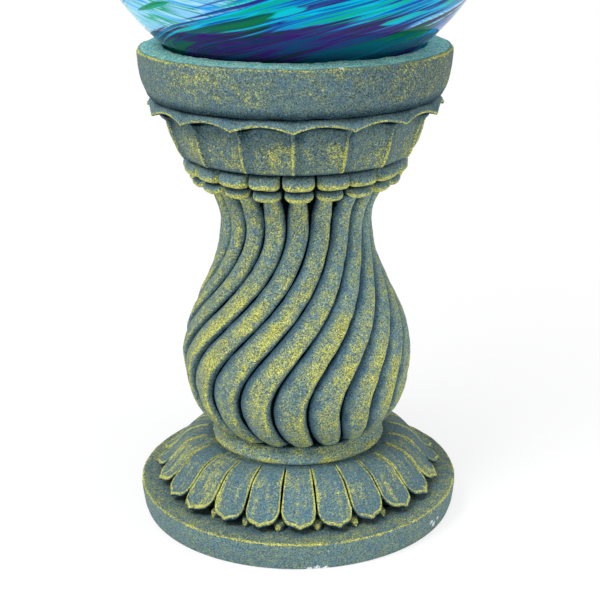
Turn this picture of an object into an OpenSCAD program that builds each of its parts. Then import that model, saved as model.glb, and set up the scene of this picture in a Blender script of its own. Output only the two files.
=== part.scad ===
// Gazing globe on a twisted-flute garden pedestal.
// Cast-stone sections stack up on a tie rod, and a loose ring in the top dish carries the glass globe.
// Millimetres, +Z up, ground at z = 0, front toward -Y.

/* [Plinth] */
// Largest radius of the round plinth
plinth_r = 106; // [104:0.5:120]
// Height of the plinth up to its deck
plinth_h = 18.5; // [17:0.5:26]
// How far the plinth wall draws in toward the ground
plinth_draft = 2.5; // [0.5:0.25:5]
// Rounding of the plinth's top edge
plinth_edge_r = 2; // [1:0.25:4]

/* [Petal skirt] */
// Number of petals around the skirt
petal_count = 24; // [18:1:28]
// Radius at the petal tips
petal_tip_r = 96.5; // [90:0.5:100]
// Height of a petal tip above the deck
petal_tip_h = 5.5; // [4:0.25:8]
// How far the corners of a petal draw back from its tip
petal_round = 7; // [4:0.5:10]
// How far the small leaf points between the petals stay behind the petal tips
leaf_point_back = 1.5; // [0.5:0.25:4]
// Depth of the slits between petals
slit_depth = 3; // [1.5:0.25:3.75]
// Width of the slits between petals, as an angle
slit_angle = 1.6; // [1:0.1:3]
// Height of the skirt from the deck to its top face
skirt_h = 28.5; // [24:0.5:36]
// Radius of the skirt's flat top face
skirt_top_r = 57.5; // [54:0.5:60]
// Fullness of the petal shoulder
petal_shoulder = 1.7; // [1.2:0.05:2]

/* [Collar] */
// Radius of the collar at its lower ridge
collar_r = 57.5; // [56:0.5:62]
// Height of the collar
collar_h = 10.5; // [8:0.5:14]
// How far the face of the collar slopes down to its ridge
collar_drop = 6.5; // [3:0.25:7.5]

/* [Shaft] */
// Number of flutes around the shaft
flute_count = 20; // [16:1:22]
// Length of the shaft
shaft_h = 171; // [160:1:190]
// Radius of the flutes where they stand on the collar
foot_r = 50; // [46:0.5:54]
// Largest radius of the belly
belly_r = 75.3; // [68:0.1:84]
// Height of the belly above the foot
belly_z = 46.5; // [38:0.5:60]
// Smallest radius of the neck
neck_r = 48.3; // [46:0.1:54]
// Height of the neck above the foot
neck_z = 137; // [125:1:142]
// Radius of the flutes at the top
head_r = 63.8; // [60:0.1:66]
// Depth of the flutes
flute_depth = 5; // [3:0.25:5.5]
// Turn of the flutes from the neck to the belly, in degrees
flute_twist = 60; // [30:1:80]
// Turn back of the flutes below the belly, in degrees
flute_hook = 10; // [0:1:16]
// Height above the foot at which the flutes begin to turn
twist_top_z = 144; // [135:1:150]
// Height above the foot at which the flutes turn back
twist_foot_z = 31; // [22:1:40]

/* [Beads] */
// Height of the lower beads that cap the flutes
cap_h = 7.5; // [5:0.25:9]
// Radius over the lower beads
cap_r = 66; // [63:0.5:69]
// Height of the upper bead ring
bead_h = 10.5; // [8:0.25:14]
// Radius over the upper beads
bead_r = 70.5; // [68:0.5:73]
// Depth of the notches between beads
bead_notch = 6; // [3:0.5:7]

/* [Leaf cup] */
// Number of panels around the cup
panel_count = 16; // [12:1:20]
// Height of the cup
cup_h = 35; // [31:0.5:42]
// Radius of the panels at the bottom of the cup
cup_foot_r = 69; // [67:0.5:71]
// Radius of the panels at the top of the cup
cup_head_r = 83; // [80:0.5:86]
// Thickness of the cup's floor
cup_floor_t = 9; // [7:0.5:11]
// Thickness of the cup's wall at its floor
cup_wall_t = 16; // [12:0.5:18]
// Depth of the panels between the ribs
panel_depth = 1.6; // [0.8:0.1:2.5]
// Radius of the leaf edge at its points
leaf_r = 92; // [89:0.5:96]
// How far the leaf edge draws in between its points
leaf_scallop = 2.25; // [1:0.25:5]
// Height of the arches of the leaf edge
leaf_rise = 2.9; // [1:0.1:2.9]
// Height of the points of the leaf edge below the top of the cup
leaf_drop = 5; // [4.75:0.25:7]

/* [Rim bowl] */
// Height of the bowl from the cup to the outer rim edge
bowl_h = 31; // [30:0.5:36]
// Largest radius of the rim band
rim_r = 96.5; // [94:0.5:104]
// How far the band draws in toward the leaf edge
rim_flare = 6; // [3:0.25:8]
// Rounding of the rim's top edge
rim_edge_r = 2; // [1:0.25:3]
// Rise of the rim's top face from its outer edge to the mouth
rim_dome = 1.4; // [0.8:0.1:2]
// Height of the groove under the band
band_groove = 2; // [1:0.25:3]
// Depth of the groove under the band
band_groove_d = 6; // [3:0.5:8]
// Radius of the spigot that drops into the cup
spigot_r = 70; // [68:0.5:72]
// Width of the ledge that stays free inside the seat ring
ledge_lip = 2; // [1:0.25:3]
// Thickness of the shelf under the dish plate
shelf_t = 3; // [2:0.25:4]
// Width of the shelf under the dish plate
shelf_w = 5; // [3:0.5:8]
// Width of the step in the cup that carries the spigot
spigot_step = 4; // [2:0.5:6]

/* [Dish plate] */
// Radius of the plate
plate_r = 62; // [58:0.5:63]
// Thickness of the plate
plate_t = 6; // [4:0.25:7]
// Gap between the plate and the lowest point of the globe
plate_gap = 2; // [1:0.25:4]
// Radius of the hole in the plate for the neck of the globe
dish_hole_r = 29; // [27:0.5:32]

/* [Seat ring] */
// Radius of the circle on which the globe rests
seat_r = 70; // [68:0.5:72]
// Radial width of the seat ring
seat_w = 9; // [7:0.5:10]
// Height of the seat ring below the resting circle
seat_h = 8; // [6:0.5:9]
// Gap between the ring, the globe and the dish wall
seat_gap = 0.3; // [0.2:0.05:0.6]

/* [Globe] */
// Radius of the glass globe
globe_r = 127; // [120:0.5:135]
// Thickness of the glass
glass_t = 3; // [2:0.25:5]
// Depth of the globe below the outer rim edge
globe_sink = 26; // [25:0.25:27]
// Outer radius of the neck of the globe
stem_r = 22; // [18:0.5:24]
// Length of the neck below the globe
stem_h = 28; // [22:0.5:30]

/* [Stopper] */
// Length of the plug inside the neck
plug_h = 16; // [10:0.5:20]
// Thickness of the stopper's head
plug_head_h = 4; // [3:0.25:5]
// Step of the stopper's head inside the rim of the neck
plug_head_step = 1; // [0.5:0.25:2]
// Gap between the plug and the bore of the neck
plug_gap = 0.05; // [0.02:0.01:0.1]

/* [Neck socket] */
// Outer radius of the socket
well_r = 35; // [33:0.5:36]
// Depth of the socket below the cup
well_h = 17; // [15:0.5:20]
// Thickness of the socket's wall and floor
well_t = 7; // [6:0.5:7.5]
// Width of the flange that rests on the cup's floor
flange_w = 7; // [4:0.5:9]
// Thickness of the flange
flange_t = 3; // [2:0.25:4]

/* [Tie rod] */
// Diameter of the tie rod
rod_d = 10; // [8:0.5:12]
// Width across the flats of the nuts
nut_w = 17; // [16:0.5:20]
// Height of the nuts
nut_h = 8; // [6:0.5:9]
// Radius of the washers
washer_r = 15; // [13:0.5:18]
// Thickness of the washers
washer_t = 2; // [1.5:0.25:2.5]
// Length of rod that shows past each nut
rod_end = 1.5; // [1:0.25:2]
// Radial gap around the tie rod in the castings and washers
rod_gap = 0.5; // [0.3:0.1:1]
// Radial gap between the tie rod and the nuts
thread_gap = 0.05; // [0.02:0.01:0.1]

/* [Core and locating steps] */
// Radius of the cored hole through the castings
core_r = 20; // [14:0.5:22]
// Radius of the raised bosses that locate the lower castings
boss_r = 32; // [28:0.5:36]
// Height of the bosses
boss_h = 6; // [4:0.5:7]
// Radial gap around bosses, neck socket, spigot and plate
fit_gap = 0.3; // [0.2:0.05:0.5]
// Free height past bosses, neck socket and spigot
end_gap = 0.5; // [0.3:0.1:1]
// Free height under the lower end of the rod
ground_gap = 1; // [0.5:0.25:2]
// Free width around the washer under the plinth
recess_gap = 3; // [2:0.5:5]

/* [Placing] */
// Turn of the flutes and beads about the axis, in degrees
flute_phase = 1.5; // [0:0.5:9]
// Turn of the cup's ribs about the axis, in degrees
panel_phase = -1; // [-11:0.5:11]

/* [Hidden] */
$fn = 96;
// Heights of the seats between the castings, from the ground up
skirt_z = plinth_h;
collar_z = skirt_z + skirt_h;
shaft_z = collar_z + collar_h;
bead_z = shaft_z + shaft_h;
cup_z = bead_z + bead_h;
bowl_z = cup_z + cup_h;
rim_z = bowl_z + bowl_h;
// Centre of the globe and tip of its neck
globe_z = rim_z - globe_sink + globe_r;
stem_z = globe_z - globe_r - stem_h;
// Shelf under the dish plate and height of the spigot
plate_z = globe_z - globe_r - plate_gap - plate_t;
spigot_h = bowl_z - plate_z + shelf_t;
// Floor of the neck socket and recess under the plinth
well_floor_z = cup_z - well_h + well_t;
recess_h = ground_gap + rod_end + nut_h + washer_t;
recess_r = washer_r + recess_gap;
// Height of the seat circle on the globe and of the ledge under the seat ring
seat_z = globe_z - sqrt(pow(globe_r, 2) - pow(seat_r, 2));
ledge_z = seat_z - seat_h;
// Overshoot of cutting tools
cut = 1;

// Piece to draw

// Point at an azimuth from the front, a radius and a height
function at(az, r, z) = [r * sin(az), -r * cos(az), z];

// Smooth step from 0 to 1
function smooth(t) = t * t * (3 - 2 * t);

// Closed solid from rings of points listed from the bottom up, each ring anticlockwise from above
module ring_solid(rings) {
    n = len(rings[0]);
    m = len(rings);
    low = m * n;
    high = m * n + 1;
    points = concat([for (ring = rings) each ring],
                    [[0, 0, rings[0][0][2]], [0, 0, rings[m - 1][0][2]]]);
    sides = [for (i = [0:m - 2]) for (j = [0:n - 1])
             let (k = (j + 1) % n, a = i * n + j, b = i * n + k, c = a + n, d = b + n)
             each [[a, c, d], [a, d, b]]];
    floor_faces = [for (j = [0:n - 1]) [low, j, (j + 1) % n]];
    roof_faces = [for (j = [0:n - 1]) [high, (m - 1) * n + (j + 1) % n, (m - 1) * n + j]];
    polyhedron(points, concat(sides, floor_faces, roof_faces), convexity = 10);
}

// Cut for the boss of the casting below, and for the tie rod's cored hole
module socket_and_core(z, h) {
    translate([0, 0, z - cut])
    cylinder(r = boss_r + fit_gap, h = boss_h + end_gap + cut);
    translate([0, 0, z])
    cylinder(r = core_r, h = h + cut);
}

// Plinth: round foot with a raised boss and a recess for the lower nut
module plinth() {
    wall = [for (t = [0:0.125:1])
            [plinth_r - plinth_draft * pow(1 - t, 2), (plinth_h - plinth_edge_r) * t]];
    edge = [for (a = [15:15:90])
            [plinth_r - plinth_edge_r * (1 - cos(a)), plinth_h - plinth_edge_r * (1 - sin(a))]];
    color("SlateGray")
    difference() {
        union() {
            rotate_extrude()
            polygon(concat([[0, 0]], wall, edge, [[0, plinth_h]]));
            cylinder(r = boss_r, h = plinth_h + boss_h);
        }
        translate([0, 0, -cut])
        cylinder(r = recess_r, h = recess_h + cut);
        cylinder(r = rod_d / 2 + rod_gap, h = plinth_h + boss_h + cut);
    }
}

// Height of the petals above the deck at a share of the way from the top face to the tip
function petal_h(q) = petal_tip_h + (skirt_h - petal_tip_h) * (1 + cos(180 * pow(q, petal_shoulder))) / 2;

// Radius of the petal outline at a share of the half width
function petal_out(u) = petal_tip_r - petal_round * pow(abs(u), 3);

// Petal skirt: domed ring whose relief is a ring of petals with small leaf points between them
module petal_skirt() {
    pitch = 360 / petal_count;
    edge = 1 - slit_angle / pitch;
    us = [-1, -edge, -edge / 2, 0, edge / 2, edge];
    columns = [for (p = [0:petal_count - 1]) for (u = us) [(p + u / 2) * pitch, u]];
    shares = [1, 0.92, 0.82, 0.72, 0.62, 0.52, 0.42, 0.3, 0.15, 0];
    base = [for (c = columns)
            at(c[0], c[1] == -1 ? petal_tip_r - leaf_point_back : petal_out(c[1]), skirt_z)];
    relief = [for (q = shares)
              [for (c = columns)
               let (slit = c[1] == -1 ? slit_depth * min(1, q * 4) : 0)
               at(c[0], skirt_top_r + (petal_out(c[1]) - skirt_top_r) * q, skirt_z + petal_h(q) - slit)]];
    color("SlateGray")
    difference() {
        union() {
            ring_solid(concat([base], relief));
            translate([0, 0, skirt_z + skirt_h / 2])
            cylinder(r = boss_r, h = skirt_h / 2 + boss_h);
        }
        socket_and_core(skirt_z, skirt_h + boss_h);
    }
}

// Base collar: ring with a steep sloping face above a rounded ridge
module base_collar() {
    edge_r = (collar_h - collar_drop) / 2;
    edge = [for (a = [-90:10:90])
            [collar_r - edge_r * (1 - cos(a)), collar_z + edge_r * (1 + sin(a))]];
    color("SlateGray")
    difference() {
        union() {
            rotate_extrude()
            polygon(concat([[0, collar_z]], edge, [[foot_r, collar_z + collar_h], [0, collar_z + collar_h]]));
            translate([0, 0, collar_z + collar_h / 2])
            cylinder(r = boss_r, h = collar_h / 2 + boss_h);
        }
        socket_and_core(collar_z, collar_h + boss_h);
    }
}

// Radius over the flutes at a height above the foot
function shaft_r(z) =
    z < belly_z ? foot_r + (belly_r - foot_r) * pow(1 - pow(1 - z / belly_z, 1.85), 1 / 1.85) :
    z < neck_z ? neck_r + (belly_r - neck_r) * (1 + cos(180 * (z - belly_z) / (neck_z - belly_z))) / 2 :
    neck_r + (head_r - neck_r) * pow((z - neck_z) / (shaft_h - neck_z), 2);

// Turn of the flutes at a height above the foot
function flute_turn(z) =
    z > twist_top_z ? 0 :
    z > twist_foot_z ? -flute_twist * smooth((twist_top_z - z) / (twist_top_z - twist_foot_z)) :
    -flute_twist + flute_hook * pow(1 - z / twist_foot_z, 2);

// Place of the crest across a flute: central at the neck and late on the belly
function flute_crest(z) = 0.5 + 0.2 * smooth(max(0, min(1, (neck_z - z) / (neck_z - belly_z))));

// Steps across a flute: place from groove to crest to groove, and share of the flute depth
flute_places = [0, 0.16, 0.55, 1, 1.5, 1.86];
flute_dips = [1, 0.62, 0.15, 0, 0.18, 0.7];

// Place of a step across a flute whose crest lies at a given share of its width
function flute_place(p, crest) = p < 1 ? crest * p : crest + (1 - crest) * (p - 1);

// Half width of a lower bead at a share of its height down from its flat top
function cap_half(v) = 0.46 * sqrt(1 - v * v);

// Steps across a bead: place as a share of its half width, and share of the notch depth
bead_places = [-1, -0.6, 0, 0.6, 1];
bead_dips = [0.78, 0.09, 0, 0.09, 0.78];

// Shaft: twisted baluster, each flute capped by a bead
module shaft() {
    pitch = 360 / flute_count;
    rise = shaft_h - cap_h;
    levels = concat([for (i = [0:5]) belly_z * (1 - cos(15 * i))],
                    [for (i = [0:21]) belly_z + (rise - belly_z) * i / 21]);
    flutes = [for (z = levels)
              [for (f = [0:flute_count - 1]) for (k = [0:len(flute_dips) - 1])
               at((f - 0.5 + flute_place(flute_places[k], flute_crest(z))) * pitch + flute_turn(z) + flute_phase,
                  shaft_r(z) - flute_depth * flute_dips[k], shaft_z + z)]];
    caps = [for (v = [0.98, 0.7, 0.35, 0])
            [for (f = [0:flute_count - 1])
             each concat([at((f - 0.5) * pitch + flute_phase, cap_r - 1 - v - bead_notch, shaft_z + shaft_h - cap_h * v)],
                         [for (k = [0:len(bead_dips) - 1])
                          at((f + bead_places[k] * cap_half(v)) * pitch + flute_phase,
                             cap_r - 1 - v - bead_notch * bead_dips[k], shaft_z + shaft_h - cap_h * v)])]];
    color("SlateGray")
    difference() {
        ring_solid(concat(flutes, caps));
        socket_and_core(shaft_z, shaft_h);
        translate([0, 0, cup_z - well_h - end_gap])
        cylinder(r = well_r + fit_gap, h = well_h + cut);
    }
}

// Bead ring: necking ring of pillow-shaped beads
module bead_ring() {
    pitch = 360 / flute_count;
    half = 0.45;
    rows = [[0, 0.5], [0.12, 0.2], [0.35, 0], [0.6, 0.08], [0.85, 0.35], [1, 0.75]];
    beads = [for (row = rows)
             [for (f = [0:flute_count - 1])
              each concat([at((f - 0.5) * pitch + flute_phase, bead_r - bead_notch, bead_z + bead_h * row[0])],
                          [for (k = [0:len(bead_dips) - 1])
                           at((f + bead_places[k] * half) * pitch + flute_phase,
                              bead_r - bead_notch * min(0.95, bead_dips[k] + row[1]), bead_z + bead_h * row[0])])]];
    color("SlateGray")
    difference() {
        ring_solid(beads);
        translate([0, 0, bead_z - cut])
        cylinder(r = well_r + fit_gap, h = bead_h + 2 * cut);
    }
}

// Radius over the ribs of the cup at a share of its height
function cup_r(v) = cup_foot_r + (cup_head_r - cup_foot_r) * pow(v, 0.37);

// Leaf cup: panelled bowl with a scalloped leaf edge, a hole for the neck socket and a step for the spigot
module leaf_cup() {
    pitch = 360 / panel_count;
    us = [-1, -0.86, -0.45, 0, 0.45, 0.86];
    columns = [for (p = [0:panel_count - 1]) for (u = us) [(p + (u + 1) / 2) * pitch + panel_phase, u]];
    edge_z = cup_h - leaf_drop;
    foot_step = 2;
    walls = [for (v = [0, 0.05, 0.14, 0.3, 0.5, 0.7, 0.88])
             [for (c = columns)
              let (dip = (c[1] == -1 ? 0 : panel_depth) + (v == 0 ? foot_step : 0))
              at(c[0], cup_r(v) - dip, cup_z + edge_z * v)]];
    leaf = [for (step = [[-0.6, 0.45], [0, 1], [1.2, 1], [2, 0.5]])
            [for (c = columns)
             let (arch = 1 - c[1] * c[1], out = leaf_r - leaf_scallop * arch)
             at(c[0], cup_head_r + (out - cup_head_r) * step[1], cup_z + edge_z + step[0] + leaf_rise * arch)]];
    top = [for (c = columns) at(c[0], cup_head_r, bowl_z)];
    socket_z = bowl_z - spigot_h - end_gap;
    floor_z = cup_z + cup_floor_t;
    color("SlateGray")
    difference() {
        ring_solid(concat(walls, leaf, [top]));
        translate([0, 0, cup_z - cut])
        cylinder(r = well_r + fit_gap, h = cup_h);
        translate([0, 0, floor_z])
        cylinder(r1 = cup_foot_r - cup_wall_t, r2 = spigot_r - spigot_step, h = socket_z - floor_z + 0.1);
        translate([0, 0, socket_z])
        cylinder(r = spigot_r + fit_gap, h = spigot_h + end_gap + cut);
    }
}

// Neck socket: flanged sleeve with a floor, through which the tie rod clamps the castings
module neck_socket() {
    floor_z = cup_z + cup_floor_t;
    color("SlateGray")
    difference() {
        union() {
            translate([0, 0, cup_z - well_h])
            cylinder(r = well_r, h = floor_z + flange_t - cup_z + well_h);
            translate([0, 0, floor_z])
            cylinder(r = well_r + flange_w, h = flange_t);
        }
        translate([0, 0, well_floor_z])
        cylinder(r = well_r - well_t, h = well_h + cup_h);
        translate([0, 0, cup_z - well_h - cut])
        cylinder(r = rod_d / 2 + rod_gap, h = well_t + 2 * cut);
    }
}

// Rim bowl: ring with a plain flared band, a ledge for the seat ring and a spigot with a shelf for the plate
module rim_bowl() {
    foot_r = rim_r - rim_flare;
    band_h = bowl_h - band_groove - rim_edge_r;
    band = [for (t = [0:0.125:1])
            [rim_r - rim_flare * pow(1 - t, 2.2), bowl_z + band_groove + band_h * t]];
    edge = [for (a = [15:15:75])
            [rim_r - rim_edge_r * (1 - cos(a)), rim_z - rim_edge_r * (1 - sin(a))]];
    ledge_r = seat_r + seat_w / 2 + seat_gap;
    // The mouth clears the globe, and the seat ring on its way in
    mouth_r = max(ledge_r, sqrt(pow(globe_r, 2) - pow(globe_z - rim_z - rim_dome, 2)) + 4 * seat_gap);
    pocket_r = plate_r + fit_gap;
    low_z = bowl_z - spigot_h;
    under = [[plate_r - shelf_w, low_z], [spigot_r, low_z], [spigot_r, bowl_z],
             [foot_r - band_groove_d, bowl_z], [foot_r - band_groove_d, bowl_z + band_groove]];
    mouth = [[mouth_r + 1, rim_z + rim_dome], [mouth_r, rim_z + rim_dome - 0.6]];
    dish = [[ledge_r, ledge_z + seat_h * 0.75], [ledge_r, ledge_z], [ledge_r - seat_w - ledge_lip, ledge_z],
            [pocket_r, plate_z + plate_t], [pocket_r, plate_z], [plate_r - shelf_w, plate_z]];
    color("SlateGray")
    rotate_extrude()
    polygon(concat(under, band, edge, mouth, dish));
}

// Dish plate: disc with a hole for the neck of the globe
module dish_plate() {
    color("SlateGray")
    translate([0, 0, plate_z])
    difference() {
        cylinder(r = plate_r, h = plate_t);
        translate([0, 0, -cut])
        cylinder(r = dish_hole_r, h = plate_t + 2 * cut);
    }
}

// Tie rod through all the castings
module tie_rod() {
    high = well_floor_z + washer_t + nut_h + rod_end;
    color("Silver")
    translate([0, 0, ground_gap])
    cylinder(d = rod_d, h = high - ground_gap);
}

// Flat washer with its lower face at a height
module washer(z) {
    color("Silver")
    translate([0, 0, z])
    difference() {
        cylinder(r = washer_r, h = washer_t);
        translate([0, 0, -cut])
        cylinder(r = rod_d / 2 + rod_gap, h = washer_t + 2 * cut);
    }
}

// Hexagon nut with chamfered corners and its lower face at a height
module nut(z) {
    corner_r = nut_w / 2 / cos(30);
    chamfer = corner_r - nut_w / 2;
    color("Silver")
    translate([0, 0, z])
    difference() {
        intersection() {
            cylinder(r = corner_r, h = nut_h, $fn = 6);
            rotate_extrude()
            polygon([[0, 0], [corner_r - chamfer, 0], [corner_r + 0.1, chamfer / 2],
                     [corner_r + 0.1, nut_h - chamfer / 2], [corner_r - chamfer, nut_h], [0, nut_h]]);
        }
        translate([0, 0, -cut])
        cylinder(r = rod_d / 2 + thread_gap, h = nut_h + 2 * cut);
    }
}

// Washer and nut under the plinth
module bottom_washer() {
    washer(recess_h - washer_t);
}

module bottom_nut() {
    nut(recess_h - washer_t - nut_h);
}

// Washer and nut in the neck socket
module top_washer() {
    washer(well_floor_z);
}

module top_nut() {
    nut(well_floor_z + washer_t);
}

// Seat ring: loose ring with a sloped face under the globe
module seat_ring() {
    inner = seat_r - seat_w / 2;
    outer = seat_r + seat_w / 2;
    slope = seat_r / (globe_z - seat_z);
    face_z = seat_z - seat_gap / cos(atan(slope));
    color("DimGray")
    rotate_extrude()
    polygon([[inner, ledge_z], [outer, ledge_z], [outer, face_z + slope * seat_w / 2],
             [inner, face_z - slope * seat_w / 2]]);
}

// Globe: hollow glass ball, open where its neck begins
module globe() {
    color("DeepSkyBlue")
    difference() {
        translate([0, 0, globe_z])
        sphere(r = globe_r);
        translate([0, 0, globe_z])
        sphere(r = globe_r - glass_t);
        translate([0, 0, stem_z])
        cylinder(r = stem_r, h = stem_h + 3 * glass_t);
    }
}

// Globe neck: short tube that ends at the inside of the ball
module globe_neck() {
    color("DeepSkyBlue")
    difference() {
        translate([0, 0, stem_z])
        cylinder(r = stem_r, h = stem_h + 3 * glass_t);
        translate([0, 0, globe_z])
        sphere(r = globe_r - glass_t);
        translate([0, 0, stem_z - cut])
        cylinder(r = stem_r - glass_t, h = stem_h + 3 * glass_t + 2 * cut);
    }
}

// Neck stopper: plug with a flat head
module neck_stopper() {
    color("DimGray")
    union() {
        translate([0, 0, stem_z])
        cylinder(r = stem_r - glass_t - plug_gap, h = plug_h);
        translate([0, 0, stem_z - plug_head_h])
        cylinder(r = stem_r - plug_head_step, h = plug_head_h);
    }
}

plinth();
petal_skirt();
base_collar();
shaft();
bead_ring();
leaf_cup();
neck_socket();
rim_bowl();
dish_plate();
tie_rod();
bottom_washer();
bottom_nut();
top_washer();
top_nut();
seat_ring();
globe();
globe_neck();
neck_stopper();
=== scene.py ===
"""Gazing globe on a twisted-flute garden pedestal: dressed model, stage and camera.

Sizes are in millimetres up to the meshes, which are in metres. +Z is up and the front looks toward -Y.
Azimuths are in degrees from the front, positive toward +X.
"""
import math
from itertools import product
from types import SimpleNamespace

import bpy
import numpy as np
from mathutils import Matrix, Vector


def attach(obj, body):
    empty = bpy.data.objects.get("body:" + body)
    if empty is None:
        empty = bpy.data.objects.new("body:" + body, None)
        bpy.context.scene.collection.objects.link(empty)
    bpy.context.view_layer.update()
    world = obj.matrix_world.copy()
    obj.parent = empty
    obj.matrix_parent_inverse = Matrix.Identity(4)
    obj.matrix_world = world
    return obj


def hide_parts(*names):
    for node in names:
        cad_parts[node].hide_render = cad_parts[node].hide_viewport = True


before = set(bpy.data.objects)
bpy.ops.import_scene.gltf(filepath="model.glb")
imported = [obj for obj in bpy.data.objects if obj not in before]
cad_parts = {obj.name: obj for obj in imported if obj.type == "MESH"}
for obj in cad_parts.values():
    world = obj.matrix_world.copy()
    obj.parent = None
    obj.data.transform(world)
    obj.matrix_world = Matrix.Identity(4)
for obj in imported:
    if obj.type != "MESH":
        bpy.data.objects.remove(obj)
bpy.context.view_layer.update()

MM = 0.001

# Heights of the seats between the castings
SKIRT_Z, COLLAR_Z, SHAFT_Z, BEAD_Z, CUP_Z, BOWL_Z, RIM_Z = 18.5, 47, 57.5, 228.5, 239, 274, 305
# Hole for the rod, cores and locating bosses, and the free play around and past a boss
ROD_HOLE_R, CORE_R, BOSS_R, BOSS_H, FIT, END_GAP = 5.5, 20, 32, 6, 0.3, 0.5
SOCKET_R, SOCKET_H = BOSS_R + FIT, BOSS_H + END_GAP
# Neck socket, and the cup's floor that its flange rests on
WELL_R, WELL_IN_R, WELL_LOW_Z, WELL_FLOOR_Z = 35, 28, 222, 229
WELL_HOLE_R = WELL_R + FIT
CUP_FLOOR_Z, CUP_FLOOR_R, FLANGE_R, FLANGE_T = 248, 53, 42, 3
# Recess for the nut under the plinth
RECESS_R, RECESS_H = 18, 12.5

PLINTH_R, PLINTH_DRAFT, DECK_R = 106, 2.5, 84
# White chips on the plinth's side: azimuth, height and size
PLINTH_CHIPS = [(3.5, 0.6, 2.4), (6, 0.8, 3), (9, 0.6, 2.4), (54, 9, 2.4), (56, 6, 2.6), (58.5, 8, 1.8)]
PETALS, PETAL_TIP_R, PETAL_END, PETAL_POINT = 24, 96.5, 11.5, 1.8
SKIRT_TOP_R, SKIRT_EDGE_R = 57.5, 97
COLLAR_R, COLLAR_RIDGE_Z, COLLAR_FOOT_R, COLLAR_HEAD_R = 58, 48.7, 56, 50.8
FLUTES, FLUTE_PHASE, FLUTE_TWIST, FLUTE_HOOK = 20, 1.5, 60, 10
SHAFT_H, FOOT_R, BELLY_R, BELLY_H, NECK_R, NECK_H, HEAD_R = 171, 50, 75.3, 46.5, 48.3, 137, 63.8
TWIST_TOP_H, TWIST_FOOT_H = 144, 31
# Radius inside which the caps and the beads are rooted, and the one that their lengths are measured at
CAP_ROOT_R, BEAD_ROOT_R, BEAD_MID_R = 55, 60, 68
# Half lengths of the two kinds, and the radius of the ring behind the beads
CAP_HALF_L, BEAD_HALF_L, BEAD_BACK_R = 9.9, 10.7, 64.2
PANELS, PANEL_PHASE, CUP_FOOT_R, CUP_HEAD_R = 16, -1, 69, 83
LEAF_R, LEAF_EDGE_Z, LEAF_SCALLOP, LEAF_RISE = 92, CUP_Z + 30, 1.7, 3.6
# Valley above the leaves, mouth of the cup and foot of the band that stands in it
VALLEY_R, CUP_MOUTH_R, BAND_FOOT_R = 88, 86.4, 86
RIM_R, RIM_FLARE, SPIGOT_R, SPIGOT_LOW_Z, MOUTH_R, MOUTH_Z = 96.5, 6, 70, 268, 80, 306.4
PLATE_R, PLATE_Z, DISH_FLOOR_Z, DISH_HOLE_R, SHELF_R = 62, 271, 277, 29, 57
# White chip on the rim's edge, and the yellow smear on the band: azimuth, radius and height
RIM_CHIP, BAND_SMEAR = (15.3, 95, 304.9), (-36, 94, 297)
SEAT_R, SEAT_W, SEAT_Z, LEDGE_Z, LEDGE_R = 70, 9, 300.03, 292.03, 74.8
GLOBE_R, GLOBE_Z, GLASS_T, STEM_R, STEM_Z = 127, 406, 3, 22, 251
PLUG_R, PLUG_TOP_Z, PLUG_HEAD_R, PLUG_HEAD_Z = 18.95, 267, 21, 247
ROD_R, ROD_LOW_Z, ROD_TOP_Z, THREAD_L, THREAD_PITCH, THREAD_D = 5, 1, 240.5, 22, 1.5, 0.55

# Longest step along the rounding of a corner
ARC_STEP = 0.45
# Lumps of a hand-finished casting as (height, size), and the width over which an edge counts as proud
LUMPS, PROUD_W = ((0.30, 11), (0.16, 4.2), (0.07, 1.9)), 2.6
# Factors and a mixer that scramble a cell's place into an even random number
SCRAMBLE, MIXER = np.array([374761393, 668265263, 2246822519], np.uint32), np.uint32(1274126177)


# Points and noise

def smooth(lo, hi, x):
    """Smooth step from 0 at lo to 1 at hi."""
    t = np.clip((x - lo) / (hi - lo), 0, 1)
    return t * t * (3 - 2 * t)


def bump(x, middle, width):
    """Smooth hill of height 1."""
    return np.exp(-((x - middle) / width) ** 2)


def lump(p, size, seed):
    """Smooth noise from -1 to 1 at points p, with lumps about size millimetres across."""
    q = p.reshape(-1, 3) / size
    cell = np.floor(q).astype(np.int64)
    f = q - cell
    f = f ** 3 * (f * (f * 6 - 15) + 10)
    total = np.zeros(len(q))
    for corner in product((0, 1), repeat=3):
        h = ((cell + corner).astype(np.uint32) * SCRAMBLE).sum(axis=1, dtype=np.uint32)
        h = h + np.uint32(seed * 97531 + 7)
        h = (h ^ (h >> np.uint32(13))) * MIXER
        h = h ^ (h >> np.uint32(16))
        w = np.prod(np.where(corner, f, 1 - f), axis=1)
        total += w * (h / 2 ** 31 - 1)
    return total.reshape(p.shape[:-1])


def polar(az, r, z):
    """Points at azimuths in degrees, radii and heights."""
    az, r, z = np.broadcast_arrays(np.radians(az), r, z)
    return np.stack([r * np.sin(az), -r * np.cos(az), z], -1)


def radius(p):
    """Distance of points from the axis."""
    return np.hypot(p[..., 0], p[..., 1])


def near(p, place, size, stretch=(1, 1, 1)):
    """Smooth spot of height 1 on points p around a place of (azimuth, radius, height)."""
    return bump(np.linalg.norm((p - polar(*place)) * stretch, axis=2), 0, size)


def blur(a, rows, cols, wrap):
    """a smoothed along its rows and columns by that many passes."""
    for axis, passes, closed in ((0, rows, False), (1, cols, wrap)):
        for _ in range(passes):
            if closed:
                a = (np.roll(a, 1, axis) + np.roll(a, -1, axis) + 2 * a) / 4
            else:
                e = np.concatenate([a.take([0], axis), a, a.take([-1], axis)], axis)
                n = a.shape[axis]
                a = (e.take(range(n), axis) + e.take(range(2, n + 2), axis) + 2 * a) / 4
    return a


def normals(p, wrap):
    """Outward normals of a grid of points."""
    if wrap:
        across = np.roll(p, -1, 1) - np.roll(p, 1, 1)
    else:
        across = np.gradient(p, axis=1)
    n = np.cross(across, np.gradient(p, axis=0))
    return n / np.maximum(np.linalg.norm(n, axis=2, keepdims=True), 1e-9)


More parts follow.
